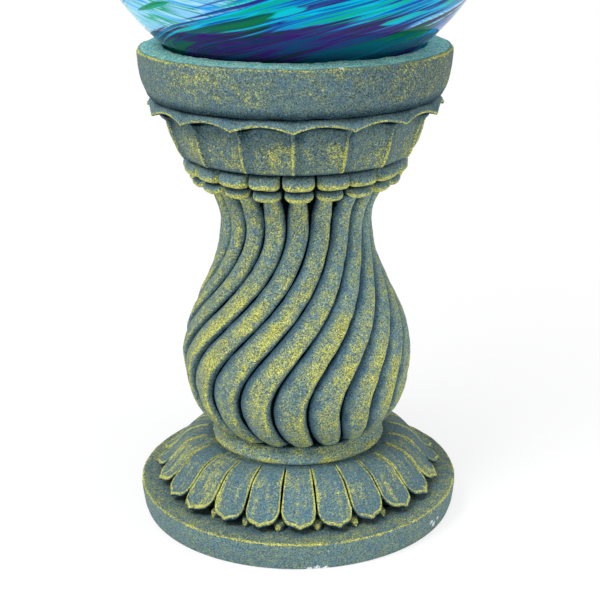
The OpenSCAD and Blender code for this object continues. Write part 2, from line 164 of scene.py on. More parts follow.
def weathered(p, live, wrap=True, amount=1, seed=1):
    """The grid with the small lumps of a hand-finished casting where live is 1, and two facts of its points.

    The first is how proud they stand in millimetres, above 0 on crests and below 0 in grooves.
    The second is how far they look up, from -1 to 1.
    """
    n = normals(p, wrap)
    rough = sum(high * lump(p, size, seed + k) for k, (high, size) in enumerate(LUMPS))
    p = p + n * (amount * live * rough)[..., None]
    step = np.linalg.norm(np.diff(p, axis=1), axis=2).mean()
    rise = np.median(np.linalg.norm(np.diff(p, axis=0), axis=2))
    passes = [int(np.clip(2 * (PROUD_W / s) ** 2, 2, 60)) for s in (rise, step)]
    proud = ((p - blur(p, passes[0], passes[1], wrap)) * n).sum(2)
    return p, proud, normals(p, wrap)[..., 2]


def rounded(before, here, after, rho):
    """Start, end and points of the arc that rounds off a corner of an outline."""
    if rho == 0:
        return here, here, here[None]
    a = (before - here) / np.linalg.norm(before - here)
    b = (after - here) / np.linalg.norm(after - here)
    half = math.acos(float(np.clip(a @ b, -1, 1))) / 2
    reach = rho / math.tan(half)
    mid = here + (a + b) / np.linalg.norm(a + b) * rho / math.sin(half)
    start, stop = here + a * reach, here + b * reach
    turn = math.pi - 2 * half
    w = np.linspace(0, 1, max(4, int(turn * rho / ARC_STEP)) + 1)[:, None]
    arc = mid + (np.sin((1 - w) * turn) * (start - mid) + np.sin(w * turn) * (stop - mid)) / math.sin(turn)
    return start, stop, arc


def path(corners):
    """Points (radius, height) along a closed outline of (radius, height, rounding, step) corners."""
    pts = np.array([c[:2] for c in corners], float)
    count = len(pts)
    arcs = [rounded(pts[k - 1], pts[k], pts[(k + 1) % count], corners[k][2]) for k in range(count)]
    pieces = []
    for k in range(count):
        pieces.append(arcs[k][2])
        start, stop = arcs[k][1], arcs[(k + 1) % count][0]
        n = int(np.linalg.norm(stop - start) / corners[k][3])
        if n > 1:
            w = np.linspace(0, 1, n + 1)[1:-1, None]
            pieces.append(start + (stop - start) * w)
    return np.concatenate(pieces)


def revolve(rz, columns):
    """Grid of an outline (radius, height) turned about the axis."""
    az = np.arange(columns) * 360 / columns
    return polar(az, rz[:, :1], rz[:, 1:])


def both_ways(half):
    """Steps from -1 up to nearly 1, from the steps of one half."""
    half = np.array(half)
    return np.concatenate([[-1], -half[:0:-1], half])


def share_of_top(index, count, low):
    """Tile of the texture square for one of count small pieces side by side, above a height."""
    return index / count, low, (index + 0.9) / count, 1


# Masks of the paint: yellow brush, also shifted as painted light and shade, painted shade in grooves, hollows
# and under things, bare blue coat, pale coat lifted as painted light where less light falls, teal that stands
# in for light coloured by the glass on the rim, and white chips
MASKS = ("worn", "deep", "bare", "pale", "teal", "chip")


class Relief:
    """Grids of points that become one mesh, with masks for the paint."""

    def __init__(self):
        self.points, self.faces, self.uvs = [], [], []
        self.masks = {name: [] for name in MASKS}
        self.count = 0

    def add(self, p, wrap=True, ring=False, caps=False, tile=(0, 0, 1, 1), **masks):
        """Adds p[row, column]: columns run anticlockwise seen from above, rows up the outside.

        wrap joins the last column to the first, ring the last row to the first, and caps closes the end rows.
        tile is the part of the texture square that the grid takes. A mask that isn't given is 0.
        """
        m, n = p.shape[:2]
        i = np.arange(m if ring else m - 1)[:, None]
        j = np.arange(n if wrap else n - 1)[None, :]
        i1, j1 = (i + 1) % m, (j + 1) % n
        quads = np.broadcast_arrays(i * n + j, i * n + j1, i1 * n + j1, i1 * n + j)
        run = np.linalg.norm(np.roll(p, -1, 0) - p, axis=2).mean(1)
        v = np.concatenate([[0], np.cumsum(run if ring else run[:-1])])
        v = tile[1] + (tile[3] - tile[1]) * v / v[-1]
        u = tile[0] + (tile[2] - tile[0]) * np.arange(j.size + 1) / j.size
        jj, ii = np.broadcast_arrays(j, i)
        corners = ((0, 0), (1, 0), (1, 1), (0, 1))
        uv = np.stack([np.stack([u[jj + a], v[ii + b]], -1) for a, b in corners], 2)
        self.faces += (np.stack(quads, -1).reshape(-1, 4) + self.count).tolist()
        self.uvs.append(uv.reshape(-1, 2))
        if caps:
            for row, order in ((0, -1), (m - 1, 1)):
                loop = (row * n + np.arange(n))[::order]
                self.faces.append((loop + self.count).tolist())
                self.uvs.append(np.stack([u[:n][::order], np.full(n, v[row])], -1))
        self.points.append(p.reshape(-1, 3))
        for key in MASKS:
            self.masks[key].append(np.broadcast_to(masks.get(key, 0), (m, n)).reshape(-1))
        self.count += m * n

    def build(self, name, body, material, replaces):
        """Makes the object, and sets its body and the CAD nodes that it stands for."""
        mesh = bpy.data.meshes.new(name)
        mesh.from_pydata((np.concatenate(self.points) * MM).tolist(), [], self.faces)
        layer = mesh.uv_layers.new(name="OFBake")
        layer.uv.foreach_set("vector", np.concatenate(self.uvs).astype(np.float32).ravel())
        for key, parts in self.masks.items():
            mask = mesh.attributes.new(key, "FLOAT", "POINT")
            mask.data.foreach_set("value", np.concatenate(parts).astype(np.float32))
        mesh.polygons.foreach_set("use_smooth", np.ones(len(mesh.polygons), bool))
        mesh.materials.append(material)
        mesh.update()
        obj = bpy.data.objects.new(name, mesh)
        bpy.context.scene.collection.objects.link(obj)
        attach(obj, body)
        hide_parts(*replaces)

    def cast(self, node):
        """Makes the stone piece that stands for one casting of the pedestal."""
        self.build(node + "_casting", "pedestal", STONE, [node])


# Materials

class Nodes:
    """Short names for the nodes of a material or a world."""

    def __init__(self, owner, output="OutputMaterial"):
        owner.use_nodes = True
        self.owner, self.tree = owner, owner.node_tree
        self.tree.nodes.clear()
        self.out = self.node(output)

    def put(self, socket, value):
        """Links another node's output to an input, or sets the input to a plain value."""
        if isinstance(value, bpy.types.NodeSocket):
            self.tree.links.new(value, socket)
        else:
            socket.default_value = value

    def node(self, kind, inputs=None, **settings):
        """New node with its settings, then its inputs by name or number."""
        n = self.tree.nodes.new("ShaderNode" + kind)
        for key, value in settings.items():
            setattr(n, key, value)
        for key, value in (inputs or {}).items():
            self.put(n.inputs[key], value)
        return n

    def math(self, operation, a, b=0):
        return self.node("Math", {0: a, 1: b}, operation=operation).outputs[0]

    def vector(self, operation, a, b=(0, 0, 0), result="Vector"):
        return self.node("VectorMath", {0: a, 1: b}, operation=operation).outputs[result]

    def scaled(self, colour, factor):
        return self.node("VectorMath", {0: colour, "Scale": factor}, operation="SCALE").outputs[0]

    def weighted(self, *terms):
        """Sum of (socket, weight) pairs and plain numbers."""
        total = None
        for term in terms:
            value = self.math("MULTIPLY", *term) if isinstance(term, tuple) else term
            total = value if total is None else self.math("ADD", total, value)
        return total

    def most(self, first, *others):
        """Largest of several sockets."""
        for other in others:
            first = self.math("MAXIMUM", first, other)
        return first

    def step(self, value, lo, hi):
        """Smooth step from 0 at lo to 1 at hi."""
        return self.node("MapRange", {"Value": value, "From Min": lo, "From Max": hi},
                         interpolation_type="SMOOTHSTEP").outputs["Result"]

    def mix(self, factor, a, b):
        """Colour a where the factor is 0 and colour b where it is 1."""
        n = self.node("Mix", {0: factor}, data_type="RGBA")
        for index, colour in ((6, a), (7, b)):
            self.put(n.inputs[index], (*colour, 1) if isinstance(colour, tuple) else colour)
        return n.outputs[2]

    def ramp(self, factor, stops):
        """Colour along a list of (place, linear colour) stops."""
        n = self.node("ValToRGB", {"Fac": factor})
        elements = n.color_ramp.elements
        elements.remove(elements[0])
        for index, (place, colour) in enumerate(stops):
            element = elements.new(place) if index else elements[0]
            element.position = place
            element.color = (*colour, 1)
        return n.outputs["Color"]

    def noise(self, vector, scale, detail=2, roughness=0.5, distortion=0):
        inputs = {"Vector": vector, "Scale": scale, "Detail": detail, "Roughness": roughness,
                  "Distortion": distortion}
        return self.node("TexNoise", inputs).outputs["Fac"]

    def relief(self, height, strength, distance):
        inputs = {"Strength": strength, "Distance": distance, "Height": height}
        return self.node("Bump", inputs).outputs["Normal"]

    def place(self):
        """Place on the object in metres."""
        return self.node("TexCoord").outputs["Object"]

    def seen(self):
        """1 for what the camera sees, straight or in a reflection or through glass."""
        rays = self.node("LightPath").outputs
        return self.most(rays["Is Camera Ray"], rays["Is Glossy Ray"], rays["Is Transmission Ray"])

    def finish(self, kind, inputs):
        """Puts the last shader on the output, and gives the material or world."""
        self.tree.links.new(self.node(kind, inputs).outputs[0], self.out.inputs["Surface"])
        return self.owner


def material_nodes(name):
    return Nodes(bpy.data.materials.new(name))


# Paint of the castings, as linear colours. SHADE and GROOVE are painted shade, and TEAL and PALE_TEAL are
# painted light coloured by the glass
SLATE, SEA_GREY, BLUE = (0.088, 0.165, 0.207), (0.128, 0.196, 0.165), (0.050, 0.132, 0.222)
OCHRE, PALE_OCHRE = (0.40, 0.40, 0.045), (0.56, 0.58, 0.16)
SHADE, GROOVE = (0.020, 0.058, 0.082), (0.002, 0.006, 0.008)
TEAL, PALE_TEAL, CHIP = (0.15, 0.53, 0.54), (0.43, 0.71, 0.56), (0.80, 0.83, 0.82)


def make_stone():
    """Cast stone with a slate-blue coat, a yellow dry brush on what stands proud, and painted shade in the
    grooves; painted light lifts and tints parts of the coat.
    """
    k = material_nodes("cast_stone_paint")
    where = k.place()
    fine = k.noise(where, 1350, 1, 0.5, 0.9)
    grain = k.noise(where, 2500, 0, 0.5, 0.3)
    dust = k.noise(where, 1050, 1, 0.5, 0.5)
    pit = k.noise(where, 420, 2, 0.6, 0.6)
    mid = k.noise(where, 190, 3, 0.6, 0.6)
    broad = k.noise(where, 45, 2, 0.5, 0.3)
    masks = [k.node("Attribute", attribute_name=name).outputs["Fac"] for name in MASKS]
    worn, deep, bare, pale, teal, chip = masks
    speck = k.weighted((fine, 1), (grain, 0.4), -0.70)
    # The coat, with the smooth blue parts, the teal that stands in for light coloured by the glass on the
    # rim, and the pale parts, lifted as painted light
    coat = k.mix(k.step(k.weighted((mid, 0.5), (pit, 0.5)), 0.37, 0.57), SLATE, SEA_GREY)
    coat = k.mix(k.math("MULTIPLY", k.step(bare, 0.2, 0.9), 0.75), coat, BLUE)
    glass_light_tint = k.mix(k.step(k.weighted((pit, 0.6), (mid, 0.5)), 0.42, 0.70), TEAL, PALE_TEAL)
    coat = k.mix(teal, coat, glass_light_tint)
    coat = k.scaled(coat, k.weighted((pale, 0.9), 1))
    # The yellow brush breaks up over the grain
    cover = k.weighted((worn, 0.36), (mid, 0.50), (pit, 0.45), (broad, 0.34),
                       (deep, -0.6), (bare, -0.30), -0.67)
    brush = k.step(k.weighted((speck, 0.65), (cover, 1)), -0.16, 0.29)
    bright = k.step(k.weighted((speck, 1), (mid, 0.4), (worn, 0.2)), 0.12, 0.52)
    colour = k.mix(k.math("MULTIPLY", brush, 0.94), coat, k.mix(bright, OCHRE, PALE_OCHRE))
    # Painted shade in the grooves and hollows, and white chips
    shade = k.step(k.weighted((deep, 1), (speck, -0.25)), 0, 0.70)
    colour = k.mix(k.math("MULTIPLY", shade, 0.8), colour, SHADE)
    colour = k.mix(k.step(k.weighted((deep, 1), (speck, -0.35)), 0.42, 1), colour, GROOVE)
    colour = k.mix(k.step(k.weighted((chip, 1), (pit, 0.8)), 0.85, 0.95), colour, CHIP)
    # Grain of the lightness, weaker on the smooth parts
    gain = k.math("MAXIMUM", k.weighted((speck, 2.6), (dust, 2)), 0.2)
    colour = k.scaled(colour, k.math("POWER", gain, k.weighted((bare, -0.45), 1)))
    height = k.weighted((fine, 0.9), (grain, 0.4), (pit, 0.9), (mid, 1))
    sheen = k.math("MAXIMUM", k.weighted((deep, -0.25), 0.25), 0)
    return k.finish("BsdfPrincipled", {
        "Base Color": colour, "Roughness": k.weighted((brush, 0.08), (fine, 0.18), 0.58),
        "Normal": k.relief(height, 0.9, 0.0009), "Specular IOR Level": sheen})


# Streaks of the glass as (place, linear colour): the body, then its dusky patches, its pale patches, painted
# as light shining through, and its green and dark green patches
STREAKS = [(0.30, (0, 0.14, 0.06)), (0.36, (0, 0.40, 0.45)), (0.40, (0, 0.10, 0.42)),
           (0.44, (0, 0.48, 0.84)), (0.475, (0, 0.17, 0.56)), (0.505, (0.012, 0.02, 0.18)),
           (0.53, (0, 0.30, 0.64)), (0.56, (0, 0.42, 0.16)), (0.59, (0, 0.52, 0.86)),
           (0.62, (0, 0.10, 0.42)), (0.66, (0.028, 0.01, 0.16)), (0.72, (0, 0.24, 0.44))]
DUSK = [(0.30, (0, 0.03, 0.02)), (0.36, (0.045, 0.006, 0.16)), (0.40, (0, 0.035, 0.09)),
        (0.44, (0.045, 0.004, 0.17)), (0.48, (0, 0.04, 0.03)), (0.52, (0.040, 0.004, 0.15)),
        (0.56, (0, 0.06, 0.15)), (0.60, (0.045, 0.004, 0.15)), (0.66, (0, 0.04, 0.025)),
        (0.72, (0.020, 0.010, 0.15))]
PALE = [(0.34, (0.30, 0.62, 0.85)), (0.40, (0, 0.36, 0.16)), (0.44, (0.45, 0.78, 0.95)),
        (0.49, (0, 0.34, 0.72)), (0.53, (0.40, 0.74, 0.95)), (0.57, (0, 0.38, 0.18)),
        (0.61, (0.35, 0.70, 0.95)), (0.67, (0.05, 0.45, 0.80))]
LEAF_GREEN = [(0.36, (0, 0.22, 0.08)), (0.44, (0, 0.44, 0.20)), (0.50, (0, 0.40, 0.62)),
              (0.56, (0, 0.40, 0.14)), (0.64, (0, 0.50, 0.60))]
FOREST = [(0.36, (0, 0.05, 0.03)), (0.46, (0, 0.13, 0.05)), (0.54, (0, 0.07, 0.10)),
          (0.62, (0, 0.16, 0.06))]
TEAL_POOL = (0, 0.12, 0.20)
# Patches of the ball, which lie along the streaks: azimuth and elevation of the middle in degrees,
# half width across the streaks in degrees, half length in millimetres of height
DUSK_PATCHES = [(-24, -48.5, 58, 19), (52, -49, 26, 9), (150, -30, 60, 30)]
PALE_PATCHES = [(-61, -37, 27, 21), (60, -37, 11, 9), (70, 40, 60, 40)]
GREEN_PATCHES = [(-3, -33.5, 8, 4), (-48, -33, 5, 4), (38, -36.5, 5, 3),
                 (-120, 10, 40, 20)]
FOREST_PATCHES = [(-18, -37, 9, 6), (40, -44, 14, 6), (-60, -50, 10, 7)]
POOL_PATCHES = [(27, -50, 25, 9)]
# Winding of the streaks in radians per metre of height, below and above the height where it eases off
LOW_TWIST, HIGH_TWIST, EASE_H, EASE_W = -42, -13, -0.050, 0.015
# How fast the streaks change along their length, below and above that height
LOW_CLIMB, HIGH_CLIMB = 5, 1.8
# Winding and change of the far side's streaks, which are painted into the pale patches as if seen through the
# glass
BACK_TWIST, BACK_CLIMB = 48, 14


def glass_lanes(k):
    """Directions and noises that run along the streaks of the ball."""
    centred = k.vector("SUBTRACT", k.place(), (0, 0, GLOBE_Z * MM))
    height = k.node("SeparateXYZ", {0: centred}).outputs["Z"]

    def spoke(angle):
        """Level direction that stays the same along a streak that winds by that angle."""
        turned = k.node("VectorRotate", {"Vector": centred, "Angle": angle}, rotation_type="Z_AXIS")
        return k.vector("NORMALIZE", k.vector("MULTIPLY", turned.outputs[0], (1, 1, 0)))

    def lane(level, climb):
        """Place in the noise that runs along a streak and changes slowly with the climb."""
        return k.vector("ADD", level, k.node("CombineXYZ", {"Z": climb}).outputs[0])

    below = k.weighted((height, -1 / EASE_W), EASE_H / EASE_W)
    eased = k.math("LOGARITHM", k.math("ADD", k.math("EXPONENT", below), 1), math.e)
    waver = k.noise(centred, 22, 1, 0.5)
    wind = k.weighted((height, HIGH_TWIST), (eased, (HIGH_TWIST - LOW_TWIST) * EASE_W), (waver, 0.16), -0.08)
    level = spoke(wind)
    climb = k.weighted((height, HIGH_CLIMB), (eased, (HIGH_CLIMB - LOW_CLIMB) * EASE_W),
                       (LOW_CLIMB - HIGH_CLIMB) * EASE_H)
    front = lane(level, climb)
    # Lanes of the far side's streaks, painted onto the near side in the pale patches
    back = lane(spoke(k.math("MULTIPLY", height, BACK_TWIST)), k.math("MULTIPLY", height, BACK_CLIMB))
    return SimpleNamespace(
        height=height, level=level, streak=k.noise(front, 4.2, 1.5, 0.45, 0.25),
        thread=k.noise(front, 12, 1, 0.5, 0.2), veil=k.noise(front, 2.6, 1.5, 0.5, 0.4),
        far_streak=k.noise(back, 4.5, 1, 0.45, 0.3))


def glass_patch(k, s, az, up, width, length):
    """1 inside a patch of the ball whose ends fray along the streaks."""
    middle = GLOBE_R * MM * math.sin(math.radians(up))
    eased = math.log(1 + math.exp((EASE_H - middle) / EASE_W))
    turn = math.radians(az) + HIGH_TWIST * middle + (HIGH_TWIST - LOW_TWIST) * EASE_W * eased
    facing = k.vector("DOT_PRODUCT", s.level, (math.sin(turn), -math.cos(turn), 0), "Value")
    across = k.math("MULTIPLY", k.math("ARCCOSINE", facing), 1 / math.radians(width))
    along = k.math("MULTIPLY", k.math("SUBTRACT", s.height, middle), 1 / (length * MM))
    far = k.math("SQRT", k.math("ADD", k.math("POWER", across, 2), k.math("MULTIPLY", along, along)))
    return k.step(k.weighted((far, 1), (s.thread, 1.6), (s.veil, 0.8), -1.2), 1.10, 0.86)


def make_glass():
    """Blown glass with streaks of blue, green and violet that wind up round the ball, with a painted glow of
    its own colour.
    """
    k = material_nodes("swirled_glass")
    s = glass_lanes(k)

    def patches(places):
        """1 inside any of the patches."""
        return k.most(*[glass_patch(k, s, *place) for place in places])

    f = k.weighted((s.streak, 0.75), (s.thread, 0.32))
    dusk, pool, pale = patches(DUSK_PATCHES), patches(POOL_PATCHES), patches(PALE_PATCHES)
    # Painted light shining through the pale patches, with the far side's streaks
    body = k.mix(pale, k.ramp(f, STREAKS), k.ramp(s.far_streak, PALE))
    body = k.mix(dusk, body, k.ramp(f, DUSK))
    body = k.mix(patches(GREEN_PATCHES), body, k.ramp(f, LEAF_GREEN))
    body = k.mix(patches(FOREST_PATCHES), body, k.ramp(f, FOREST))
    body = k.mix(k.math("MULTIPLY", pool, 0.8), body, TEAL_POOL)
    clear = k.weighted((pale, 0.15), (pool, 0.10), (dusk, -0.36), 0.36)
    # Painted glow: the glass gives off light in its own colour, less in the dusky patches and the pool
    glow = k.weighted((dusk, -0.18), (pool, -0.10), 0.26)
    return k.finish("BsdfPrincipled", {
        "Base Color": body, "Roughness": 0.04, "IOR": 1.15, "Transmission Weight": clear,
        "Emission Color": body, "Emission Strength": glow})


def make_rubber():
    """Dull grey rubber with a fine grain."""
    k = material_nodes("seat_rubber")
    where = k.place()
    grain = k.noise(where, 900, 3, 0.6)
    cloud = k.noise(where, 60, 2)
    colour = k.mix(k.step(cloud, 0.3, 0.7), (0.035, 0.037, 0.04), (0.07, 0.072, 0.075))
    return k.finish("BsdfPrincipled", {
        "Base Color": colour, "Roughness": k.weighted((grain, 0.25), 0.55),
        "Normal": k.relief(grain, 0.3, 0.0003)})


def make_steel():
    """Zinc-plated steel with drawn scratches and dull patches."""
    k = material_nodes("plated_steel")
    where = k.place()
    scratch = k.noise(k.vector("MULTIPLY", where, (1, 1, 0.08)), 2600, 2, 0.6)
    cloud = k.noise(where, 120, 3)
    colour = k.mix(k.step(cloud, 0.35, 0.7), (0.42, 0.43, 0.44), (0.60, 0.60, 0.58))
    return k.finish("BsdfPrincipled", {
        "Base Color": colour, "Metallic": 1, "Roughness": k.weighted((scratch, 0.2), (cloud, 0.2), 0.18),
        "Normal": k.relief(scratch, 0.15, 0.0002)})


STONE, GLASS, RUBBER, STEEL = make_stone(), make_glass(), make_rubber(), make_steel()

# Turns left into right
MIRROR = (-1, 1, 1)


def right_hand(p):
    """1 on the right-hand side of the piece, where light and shade are painted: less yellow, and on some
    pieces a lighter or darker coat.
    """
    return smooth(0, 0.85, p[..., 0] / radius(p))


def brushed(proud, normal_z, bias, edge=0.75, hollow=0.6, up=0.25):
    """Masks of the dry brush and of the painted shade in the grooves, from how proud the surface stands and
    how far it looks up.
    """
    worn = bias + np.clip(edge * proud, -0.5, 0.9) - up * np.clip(normal_z, 0, 1)
    deep = np.clip(-hollow * (proud + 0.12), 0, 1)
    return worn, deep


def turned_casting(corners, columns, live, amount, seed):
    """Weathered grid of a turned outline, with the two facts of its points.

    live has the two radii and the two heights between which the weathering sets in.
    """
    rz = path(corners)
    worked = smooth(*live[:2], rz[:, :1]) * smooth(*live[2:], rz[:, 1:])
    return weathered(revolve(rz, columns), worked, True, amount, seed)


def cast(node, p, **masks):
    """Makes a casting of the pedestal that is one grid, closed all round."""
    k = Relief()
    k.add(p, ring=True, **masks)
    k.cast(node)


# Castings

def make_plinth():
    """Round foot with a drafted wall, a flat deck, a boss on top and a recess for the nut below."""
    wall = [(PLINTH_R - PLINTH_DRAFT * (1 - t) ** 2, (SKIRT_Z - 1) * t) for t in np.linspace(0, 0.9, 7)]
    corners = [(r, z, 0 if i else 0.6, 1.2) for i, (r, z) in enumerate(wall)]
    corners += [(PLINTH_R, SKIRT_Z, 1.6, 1.2), (DECK_R, SKIRT_Z - 0.1, 0, 6),
                (BOSS_R, SKIRT_Z - 0.1, 0, 3), (BOSS_R, SKIRT_Z + BOSS_H, 1, 4),
                (ROD_HOLE_R, SKIRT_Z + BOSS_H, 0, 4),
                (ROD_HOLE_R, RECESS_H, 0, 3), (RECESS_R, RECESS_H, 0, 3), (RECESS_R, 0, 0.6, 6)]
    p, proud, nz = turned_casting(corners, 480, live=(82, 88, 0.2, 1.5), amount=1, seed=11)
    side = smooth(0.5, 0.1, nz)
    worn, deep = brushed(proud, nz, -0.20 - 0.20 * side, edge=0.6, up=0)
    r, z = radius(p), p[..., 2]
    edge = np.exp(-((r - PLINTH_R + 0.4) ** 2 + (z - SKIRT_Z + 0.4) ** 2) / 0.32)
    worn = worn + (0.6 + 0.8 * lump(p, 13, 14)) * edge
    # Painted shadow of the petals on the deck
    deep = deep + 0.20 * smooth(99, 92, r) * smooth(16, 18, z)
    chip = np.zeros(p.shape[:2])
    for az, up, size in PLINTH_CHIPS:
        wall_r = PLINTH_R - PLINTH_DRAFT * (1 - up / SKIRT_Z) ** 2
        chip = np.maximum(chip, near(p, (az, wall_r, up), size))
    # Painted light lifts the coat on the side wall
    cast("plinth", p, worn=worn, deep=deep, bare=0.28 * side, pale=0.32 * side, chip=0.85 * chip)


def petal_profile(r):
    """Height of the petals above the deck at a radius."""
    radii = [SKIRT_TOP_R, 68, 75, 80, 86, 91, SKIRT_EDGE_R]
    heights = [28.5, 28.2, 25.6, 21, 13.2, 8.4, 5.3]
    fine = np.linspace(SKIRT_TOP_R, SKIRT_EDGE_R, 201)
    h = np.interp(fine, radii, heights)
    for _ in range(160):
        h = np.concatenate([h[:1], (h[:-2] + h[2:] + 2 * h[1:-1]) / 4, h[-1:]])
    return np.interp(r, fine, h)


def petal_shape():
    """Grid of the petals, their undersides and the core, with what the paint needs to know of it."""
    us = both_ways([0, 0.11, 0.22, 0.33, 0.44, 0.54, 0.63, 0.71, 0.77, 0.82, 0.86,
                    0.895, 0.925, 0.945, 0.96, 0.98])
    pitch = 360 / PETALS
    petal = np.repeat(np.arange(PETALS), len(us))
    u = np.tile(us, PETALS)
    au = np.abs(u)
    az = petal * pitch + u * pitch / 2
    # Each petal ends in a round tongue with a small point, a little off its middle
    off = 0.14 * np.sin(petal * 2.3 + 0.5)
    reach = np.minimum(np.abs(u - off * (1 - u * u)) / 0.985, 0.995)
    end = PETAL_END * (1 - (1 - reach ** 3.3) ** 0.55)
    point = PETAL_POINT * bump(u, off, 0.17)
    out = PETAL_TIP_R - PETAL_POINT - end + point - 1.2 * (1 + np.sin(petal * 4.1)) / 2
    slit = smooth(0.93, 0.97, au)
    # q runs from 1 at the tip to 0 at the top of the skirt
    q = np.concatenate([1 - np.linspace(0, 1, 30) ** 1.6 * 0.24, np.linspace(0.745, 0, 44)])[:, None]
    r = SKIRT_TOP_R + (out - SKIRT_TOP_R) * q
    from_tip = (1 - q) * (out - SKIRT_TOP_R)
    line = np.minimum(from_tip, (0.955 - au) * 11)
    rim = bump(line, 0.55, 0.5) * (au < 0.96)
    dish = (1 - smooth(0, 0.85, au)) * smooth(0, 0.3, q)
    # The petals cup across their width and carry a thin raised edge
    body = SKIRT_Z + petal_profile(r) - 1.3 * au ** 2 * smooth(0.1, 0.4, q) * smooth(1.05, 0.8, q)
    z = body + 0.5 * rim * smooth(0.02, 0.2, q) - 0.7 * dish * smooth(1.5, 8, from_tip)
    z = z - slit * np.minimum(5.2 * smooth(0.04, 0.24, q), z - SKIRT_Z)
    top = polar(az, r, z)
    # Hollow under the petal as (way in, share of its lift), then its edge as (way out, share of thickness)
    hollow = ((13, 0), (12, 0.45), (9, 0.8), (4.5, 0.95), (1.3, 0.99))
    edge = ((0, 1), (0.35, 0.75), (0.45, 0.45), (0.3, 0.18))
    lift = z[0] - SKIRT_Z
    thick = np.minimum(2.3, 0.45 * lift)
    under = [polar(az, r[0] - back, SKIRT_Z - 0.2 + up * (lift - thick)) for back, up in hollow]
    under += [polar(az, r[0] + ahead, SKIRT_Z + lift - thick * down) for ahead, down in edge]
    inner = [(BOSS_R, COLLAR_Z), (BOSS_R, COLLAR_Z + BOSS_H), (CORE_R, COLLAR_Z + BOSS_H),
             (CORE_R, SKIRT_Z + SOCKET_H), (SOCKET_R, SKIRT_Z + SOCKET_H), (SOCKET_R, SKIRT_Z - 0.2)]
    core = [polar(az, rr, zz) for rr, zz in inner]
    p = np.concatenate([np.stack(under), top, np.stack(core)])
    live = np.concatenate([np.full(len(under), 0.4), smooth(0, 0.05, q[:, 0]), np.zeros(len(core))])
    live = live[:, None] * (1 - 0.8 * slit)
    return SimpleNamespace(p=p, live=live, petal=petal, u=u, au=au, r=r, q=q, rim=rim, slit=slit,
                           under=len(under))


def add_leaf_point(k, az, index, tile):
    """Small pointed leaf that shows between two petals, as a closed loft along its length."""
    turn = np.linspace(0, 2 * math.pi, 24, endpoint=False)
    s = np.concatenate([np.linspace(0, 0.7, 8)[:-1], np.linspace(0.7, 1, 9)])
    wobble = 1.2 * math.sin(index * 2.4)
    start, stop = 74, 90.6 + 0.9 * math.sin(index * 1.7)
    dome = np.maximum(np.sin(turn), -0.05) ** np.where(np.sin(turn) > 0, 0.55, 1)
    lift = dome * (0.80 + 0.25 * np.abs(np.cos(turn)) ** 2)
    rows = []
    for t in s:
        width = 4.6 * max(1 - max(t - 0.35, 0) ** 2 / 0.4225, 0) ** 0.6 + 0.15
        high = 5.6 + 4 * (1 - t) ** 1.2
        high = high * max(1 - smooth(0.93, 1, t) * 0.75, 0)
        rr = start + (stop - start) * t
        a = az + np.degrees((width * np.cos(turn) + wobble * t * t) / rr)
        rows.append(polar(a, rr, SKIRT_Z - 0.3 + high * lift))
    p, _, _ = weathered(np.stack(rows)[:, ::-1], 1, amount=0.8, seed=300 + index)
    ridge = np.abs(np.cos(turn))[::-1] ** 2 * (np.sin(turn)[::-1] > 0.25)
    s = s[:, None]
    worn = -0.15 + 0.8 * np.maximum(0.7 * ridge * smooth(0.4, 0.7, s), smooth(0.86, 0.97, s))
    # Painted shade at the root of the leaf, under the petals, and on its underside
    deep = 0.8 * smooth(0.75, 0.35, s) + 0.5 * (np.sin(turn)[::-1] < 0.30)
    k.add(p, worn=worn, deep=np.clip(deep, 0, 1.1), caps=True, tile=tile)


def make_petal_skirt():
    """Ring of petals with slits between them, painted dark as shade, and a leaf point behind each slit."""
    s = petal_shape()
    p, proud, nz = weathered(s.p, s.live, seed=23, amount=0.9)
    tops = slice(s.under, s.under + len(s.q))
    rim = np.zeros(p.shape[:2])
    rim[tops] = s.rim * smooth(0.05, 0.3, s.q)
    rim[s.under - 1] = 0.3 * (s.au < 0.955)
    # Painted shade on the hollow underside, row by row out to the edge; the slits and the top of the skirt
    # are dark as shade too
    underside = np.array([0.5, 0.5, 0.55, 0.65, 0.75, 0.7, 0.55, 0.3, 0.1])
    groove = np.zeros(p.shape[:2])
    groove[tops] = smooth(0.92, 0.96, s.au) * smooth(0.03, 0.16, s.q) + 0.40 * smooth(0.16, 0, s.q)
    groove[:s.under] = np.maximum(underside[:, None], s.slit)
    right, left = right_hand(p), right_hand(p * MIRROR)
    # Painted light and shade: more yellow on the left-hand side and less on the right
    worn, deep = brushed(proud, nz, -0.10 * right + 0.18 * left, edge=0.3, up=0.05)
    # Some petals took more of the brush than others
    worn = worn + 0.18 * np.sin(2.7 * s.petal + 0.6) + 0.25 * lump(p, 14, 28)
    # Brush marks run along the petals
    lane = s.u * s.r * math.radians(180 / PETALS) / 1.5 + 31 * s.petal
    marks = lump(np.stack([lane, s.r / 9, 0 * s.r], -1), 1, 27)
    worn[tops] += (0.3 + 0.4 * smooth(0.4, 0.8, s.q)) * marks
    worn = worn + 1.5 * rim
    deep = np.clip(deep * 0.5 + 1.1 * groove, 0, 1.2)
    face = 1 - np.clip(rim, 0, 1)
    # Painted light lifts the faces of the petals, less toward the left and right sides
    pale = 0.34 * face * (1 - 0.7 * right - 0.7 * left)
    k = Relief()
    k.add(p, worn=worn, deep=deep, bare=0.48 * face, pale=pale, ring=True, tile=(0, 0, 1, 0.9))
    for f in range(PETALS):
        add_leaf_point(k, (f + 0.5) * 360 / PETALS, f, share_of_top(f, PETALS, 0.91))
    k.cast("petal_skirt")


